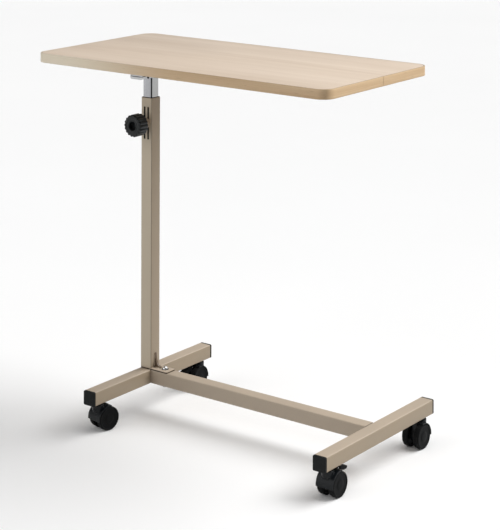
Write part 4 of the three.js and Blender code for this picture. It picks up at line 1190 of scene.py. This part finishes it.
def caster_body_mesh(brake):
    """Moulded body in the caster's own frame: swivel axis at x = y = 0, z = 0 at the leg's underside."""
    R_IN, R_OUT = 26.0, 28.0
    arc = [polar(R_OUT - 0.05, -12 + 108 * k / 40) for k in range(41)]
    low = [polar(20, 103), polar(15.5, 116), polar(13.6, 132)] + [polar(13.2, 145 + 155 * k / 14) for k in range(15)] + [polar(15, 320), polar(20, 336), polar(25.5, 344)]
    web = plate_yz(arc + low, -6.25, 6.25)
    hood_profile = [polar(R_OUT, -12 + 108 * k / 48) for k in range(49)] + [polar(R_IN, 96 - 108 * k / 48) for k in range(49)]
    hood = plate_yz(hood_profile, -20, 20)
    # raised spine along the hood's crown
    spine = plate_yz([polar(R_OUT + 0.75, -8 + 70 * k / 30) for k in range(31)] + [polar(R_OUT - 1, 62 - 70 * k / 30) for k in range(31)], -7.4, 7.4)
    boss = lathe(rounded([(0, -18), (11.6, -18), (12.8, -15), (12.8, -4.4), (12.0, -3.6), (0, -3.6)], [0, 1.5, 1.5, 0.6, 0.5, 0]), 64)
    parts = [web, hood, boss, spine]
    # short ribs that tie hood to web, seen from below
    for a in (8, 40, 72):
        p0 = [polar(23, a - 2), polar(R_IN + 0.6, a - 2), polar(R_IN + 0.6, a + 2), polar(23, a + 2)]
        parts.append(plate_yz(p0, -6.25, 6.25))
    if brake:
        py, pz = TRAIL + 12, -DROP + 25.8
        lug = [(py - 9, pz + 1.6), (py, pz + 2.9)] + [(py + 2.9 * math.sin(a), pz + 2.9 * math.cos(a)) for a in np.linspace(0.3, 2.9, 10)] + [(py, pz - 2.9), (py - 9, pz - 12)]
        parts.append(plate_yz(lug, -3.05, 3.05))
    V, F = shells(parts)
    o = raw_object("caster_master", V, F)
    voxel_melt(o, 0.42, 5, 0.5)
    # wheel wells, stem bore and axle bore are cut after the melt, so that they stay crisp
    tools = []
    for s in (-1, 1):
        Vw, Fw = lathe([(0, 0), (R_IN - 0.1, 0), (R_IN - 0.1, 16), (0, 16)], 96)
        Vw = along_x(Vw)
        Vw[:, 0] += 6.35 if s > 0 else -22.35
        tools.append((Vw + [0, TRAIL, -DROP], Fw))
    tools.append((lathe([(0, -25), (4.25, -25), (4.25, 3), (0, 3)], 40)))
    Va, Fa = lathe([(0, -9), (AXR + 0.12, -9), (AXR + 0.12, 9), (0, 9)], 40)
    tools.append((along_x(Va) + [0, TRAIL, -DROP], Fa))
    if brake:
        Vp, Fp = lathe([(0, -6), (1.55, -6), (1.55, 6), (0, 6)], 24)
        tools.append((along_x(Vp) + [0, TRAIL + 12, -DROP + 25.8], Fp))
    boolean(o, tools)
    V = np.array([v.co for v in o.data.vertices]) / MM
    F = [tuple(p.vertices) for p in o.data.polygons]
    drop(o)
    return V, F


AXR = 4.0


def wheel_mesh():
    """One twin-wheel half, outer face towards +X: rounded tread with fine grooves, dished face, hub cap."""
    prof = [(0, 16.8), (4.25, 16.8), (4.25, 7.4), (4.6, 7.0), (9.0, 7.0), (9.5, 7.6), (10.2, 10.5), (19.2, 10.5), (20.4, 7.8), (21, 7.0), (23.2, 7.0)]
    for k in range(1, 6):
        a = pi / 2 * k / 5
        prof.append((23.2 + 1.8 * math.sin(a), 7.0 + 1.8 * (1 - math.cos(a))))
    for g in (10.6, 13.2, 15.8):  # shallow moulding grooves in the tread
        prof += [(25, g - 0.35), (24.78, g - 0.12), (24.78, g + 0.12), (25, g + 0.35)]
    for k in range(1, 8):
        a = pi / 2 * k / 7
        prof.append((22.4 + 2.6 * math.cos(a) ** 0.9, 17.4 + 2.6 * math.sin(a)))
    prof += [(21.9, 20.0), (21.5, 19.75), (21.2, 19.2), (20.8, 18.95), (20.2, 18.9), (15, 18.72), (10.5, 18.7), (10.1, 18.85), (9.6, 19.2), (9.0, 19.35), (5, 19.5), (0, 19.55)]
    V, F = lathe(prof, 96)
    return along_x(V), F


def lever_mesh():
    """Brake pedal in the caster's frame, at its released place."""
    py, pz = TRAIL + 12, -DROP + 25.8
    top = [(py + 4, pz + 2.5), (py + 10, pz + 1.3), (py + 16, pz - 0.6), (py + 21, pz - 2.3), (py + 25, pz - 3.3), (py + 28, pz - 3.9), (py + 30, pz - 4.3)]
    low = [(py + 31, pz - 5.4), (py + 31.1, pz - 7.0), (py + 30, pz - 7.9), (py + 27, pz - 8.4), (py + 23, pz - 8.7), (py + 18, pz - 8.6), (py + 13, pz - 7.6), (py + 8, pz - 5.3), (py + 4, pz - 2.8)]
    prof = np.array(top + low)
    # plan shape: the arm widens to a rounded paddle
    parts = []
    rings = []
    for x in np.linspace(-8, 8, 25):
        u = abs(x) / 8
        q = prof.copy()
        reach = 31.1 - 5.5 * (1 - math.sqrt(max(0, 1 - u**3.2)))
        q[:, 0] = np.minimum(q[:, 0], py + reach)
        q[:, 1] -= 0.5 * u**4 * (q[:, 1] > pz - 5)
        rings.append(np.c_[np.full(len(q), x), q])
    parts.append(loft(rings))
    ear = [(py - 2.7 * math.cos(a), pz - 2.75 * math.sin(a)) for a in np.linspace(-pi / 2, pi / 2, 14)] + [(py + 7, pz - 3.4), (py + 7, pz + 1.2)]
    for x0, x1 in ((3.45, 6.2), (-6.2, -3.45)):
        parts.append(plate_yz(ear, x0, x1))
    # grip ribs across the paddle
    for k in range(4):
        y = py + 18.5 + 2.9 * k
        z = np.interp(y, [p[0] for p in top], [p[1] for p in top])
        parts.append(plate_yz([(y - 0.7, z - 0.8), (y + 0.7, z - 0.9), (y + 0.45, z + 0.42), (y - 0.45, z + 0.5)], -5.2, 5.2))
    V, F = shells(parts)
    o = raw_object("lever_master", V, F)
    voxel_melt(o, 0.32, 3, 0.5)
    Vp, Fp = lathe([(0, -9), (1.55, -9), (1.55, 9), (0, 9)], 24)
    boolean(o, [(along_x(Vp) + [0, py, pz], Fp)])
    V = np.array([v.co for v in o.data.vertices]) / MM
    F = [tuple(p.vertices) for p in o.data.polygons]
    drop(o)
    return V, F


body_mesh = {b: caster_body_mesh(b) for b in (False, True)}
wheel = wheel_mesh()
lever = lever_mesh()
turns = {"front_left": -12.0, "front_right": 0.0, "back_left": 180.0, "back_right": 180.0}
for tag, deg in turns.items():
    c = f"caster_{tag}"
    slo, shi = box(c + "_stem")
    pos = np.array([(slo[0] + shi[0]) / 2, (slo[1] + shi[1]) / 2, leg_z])
    brake = c + "_brake_lever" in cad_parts

    def placed(V):
        return turn(V, "Z", deg) + pos

    V, F = body_mesh[brake]
    piece(c + "_hood", (placed(V), F), M_HOOD, c, [c + "_body"], 38)
    for side, s in (("left", -1), ("right", 1)):
        V, F = wheel
        V = V * [s, 1, 1]
        V, F = outward(V, F)
        piece(f"{c}_{side}_wheel", (placed(V + [0, TRAIL, -DROP]), F), M_WHEEL, f"{c}_wheel_{side}", [f"{c}_wheel_{side}"], 38)
    V, F = lathe(rounded([(0, -16.4), (3.4, -16.4), (4, -15.8), (4, 15.8), (3.4, 16.4), (0, 16.4)], [0, 0.2, 0.2, 0.2, 0.2, 0]), 40)
    piece(c + "_axle_pin", (placed(along_x(V) + [0, TRAIL, -DROP]), F), M_STEEL, c, [c + "_axle"])
    # swivel stem: hexagon collar, snap groove, threaded upper end
    Vt, Ft = threaded(4.0, -0.6, 15.0, 1.25)
    prof = rounded([(0, -24.4), (3.1, -24.4), (3.95, -23.3), (3.95, -21.4), (3.4, -21.0), (3.4, -20.0), (3.95, -19.6), (3.95, -3.1), (5.2, -3.1), (5.2, -2.9), (3.9, -2.9), (3.9, 0), (0, 0)], [0] + [0.15] * 11 + [0])
    o = raw_object(c + "_swivel_stem", *shells([(Vt, Ft)]))
    n = 6
    hexr = circle(7.2, 6, pi / 6)
    hexs = loft([at_z(hexr * 0.94, -3.08), at_z(hexr, -2.7), at_z(hexr, -1.35), at_z(hexr * 0.94, -0.97)])
    boolean(o, [lathe(prof, 40), hexs], "UNION")
    o.data.transform(Matrix.Translation(Vector(pos) * MM))
    finish_piece(o, M_STEEL, "base", [c + "_stem"])
    prof = rounded([(4.15, -0.9), (7.6, -0.9), (8, -0.6), (8, -0.02), (5.5, -0.02), (5.5, 12), (4.6, 12), (4.15, 11.5), (4.15, -0.9)], [0, 0.2, 0.2, 0, 0.1, 0.2, 0.1, 0.1, 0])
    V, F = lathe(prof[:-1], 40)
    piece(c + "_threaded_insert", (V + pos, F), M_STEEL, "base", [c + "_insert"])
    if brake:
        V, F = lever
        piece(c + "_brake_pedal", (placed(V), F), M_PEDAL, c + "_brake", [c + "_brake_lever"], 38)
        V, F = lathe(rounded([(0, -6.1), (1.2, -6.1), (1.45, -5.8), (1.45, 5.8), (1.2, 6.1), (0, 6.1)], [0, 0.1, 0.1, 0.1, 0.1, 0]), 32)
        piece(c + "_pedal_pin", (placed(along_x(V) + [0, TRAIL + 12, -DROP + 25.8]), F), M_STEEL, c, [c + "_brake_pin"])

# ------------------------------------------------------------------ floor, light, camera
mf = Nodes("studio_floor")
soft = mf.noise(mf.mapped((1.3, 1.3, 1.3)), 1.0, 3)
floor_path = mf.t.nodes.new("ShaderNodeLightPath")
tone = mf.mix(soft, (0.955, 0.955, 0.955), (0.985, 0.985, 0.985))
tone = mf.mix(floor_path.outputs["Is Diffuse Ray"], tone, (0.5, 0.5, 0.5))
mf.set(Base_Color=tone, Roughness=0.7, Specular_IOR_Level=0.1)
V = np.array([(-9000, -9000, 0), (9000, -9000, 0), (9000, 9000, 0), (-9000, 9000, 0)], float)
floor = raw_object("studio_floor", V, [(0, 1, 2, 3)])
floor.data.materials.append(mf.mat)
floor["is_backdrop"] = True

world = bpy.data.worlds.new("studio")
scene.world = world
world.use_nodes = True
nt = world.node_tree
bg = nt.nodes["Background"]
out = nt.nodes["World Output"]
WORLD = 0.30
lp = nt.nodes.new("ShaderNodeLightPath")
tc = nt.nodes.new("ShaderNodeTexCoord")
sep = nt.nodes.new("ShaderNodeSeparateXYZ")
nt.links.new(tc.outputs["Generated"], sep.inputs[0])
grad = nt.nodes.new("ShaderNodeValToRGB")
grad.color_ramp.elements[0].position, grad.color_ramp.elements[0].color = 0.30, (0.42, 0.42, 0.42, 1)
grad.color_ramp.elements[1].position, grad.color_ramp.elements[1].color = 0.95, (1.1, 1.1, 1.1, 1)
mp = nt.nodes.new("ShaderNodeMapRange")
mp.inputs["From Min"].default_value, mp.inputs["From Max"].default_value = -1, 1
nt.links.new(sep.outputs["Z"], mp.inputs["Value"])
nt.links.new(mp.outputs["Result"], grad.inputs["Fac"])
bg.inputs["Strength"].default_value = WORLD
nt.links.new(grad.outputs["Color"], bg.inputs["Color"])
white = nt.nodes.new("ShaderNodeBackground")
white.inputs["Color"].default_value = (1, 1, 1, 1)
white.inputs["Strength"].default_value = 1.0
mixs = nt.nodes.new("ShaderNodeMixShader")
nt.links.new(lp.outputs["Is Camera Ray"], mixs.inputs[0])
nt.links.new(bg.outputs[0], mixs.inputs[1])
nt.links.new(white.outputs[0], mixs.inputs[2])
nt.links.new(mixs.outputs[0], out.inputs["Surface"])


def area(name, loc, target, size, power, size_y=None):
    d = bpy.data.lights.new(name, "AREA")
    d.energy, d.size = power, size
    if size_y:
        d.shape, d.size_y = "RECTANGLE", size_y
    o = bpy.data.objects.new(name, d)
    o.location = loc
    o.rotation_mode = "QUATERNION"
    o.rotation_quaternion = (Vector(target) - Vector(loc)).to_track_quat("-Z", "Y")
    scene.collection.objects.link(o)
    return o


def sun(name, direction, power, angle):
    d = bpy.data.lights.new(name, "SUN")
    d.energy, d.angle = power, math.radians(angle)
    o = bpy.data.objects.new(name, d)
    o.rotation_mode = "QUATERNION"
    o.rotation_quaternion = Vector(direction).to_track_quat("-Z", "Y")
    scene.collection.objects.link(o)
    return o


# a broad key from the upper right behind, a low fill from the front left, a weak box near the right end and a
# strip on the front left that only shows as a soft sheen
def toward(azimuth, elevation):
    a, e = math.radians(azimuth), math.radians(elevation)
    return Vector((math.cos(e) * math.cos(a), math.cos(e) * math.sin(a), math.sin(e)))


sun("key", -toward(52, 49), 0.80 * pi, 50)
sun("fill", -toward(-115, 24), 0.28 * pi, 60)
near = area("near_right", (1.35, 0.3, 1.35), (0.3, 0, 0.75), 0.8, 4.2)
sheen = area("sheen", (-2.9, -2.2, 0.55), (-0.3, 0, 0.6), 1.2, 1.7, 1.0)
sheen.visible_diffuse = False
near.visible_camera = sheen.visible_camera = False

cam_data = bpy.data.cameras.new("camera")
camera = bpy.data.objects.new("camera", cam_data)
scene.collection.objects.link(camera)
scene.camera = camera
lo, hi = box("edge_band")
c = Vector(((lo[0] + hi[0]) / 2, 0, hi[2])) * MM
right = Vector((0.80486325, 0.59344976, 0.00353928))
up = Vector((-0.00793902, 0.0048036, 0.99995695))
fwd = Vector((-0.59340721, 0.8048567, -0.00857765))
place = c + Vector((2.27027720, -2.94250386, 0.59002451))
camera.matrix_world = Matrix(
    (
        (right.x, up.x, -fwd.x, place.x),
        (right.y, up.y, -fwd.y, place.y),
        (right.z, up.z, -fwd.z, place.z),
        (0, 0, 0, 1),
    )
)
cam_data.sensor_width = 36.0
cam_data.lens = 1752.62 * 36.0 / 530.0
cam_data.clip_start, cam_data.clip_end = 0.05, 60
# The product view is taken with a shifted lens, which keeps the column upright. The shift belongs to that
# one place of the camera: anywhere else the lens is centred.
camera.rotation_mode = "QUATERNION"
for path, value in (("shift_x", (250 - 267.872) / 530), ("shift_y", (-204.244 - 265) / 530)):
    curve = cam_data.driver_add(path)
    curve.driver.type = "SUM"
    for n in range(10):  # ten times the same reading, because keys on the curve need some distance
        v = curve.driver.variables.new()
        v.name = f"x{n}"
        v.type = "SINGLE_PROP"
        v.targets[0].id_type = "OBJECT"
        v.targets[0].id = camera
        v.targets[0].data_path = "location[0]"
    for mod in list(curve.modifiers):
        curve.modifiers.remove(mod)
    x0 = 10 * camera.location[0]
    for dx, y in ((-0.08, 0.0), (-0.04, value), (0.04, value), (0.08, 0.0)):
        k = curve.keyframe_points.insert(x0 + dx, y)
        k.interpolation = "LINEAR"
    curve.extrapolation = "CONSTANT"
    curve.update()

scene.view_settings.view_transform = "Standard"
scene.view_settings.look = "None"
scene.view_settings.exposure = 0.0
scene.view_settings.gamma = 1.0

lo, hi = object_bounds()
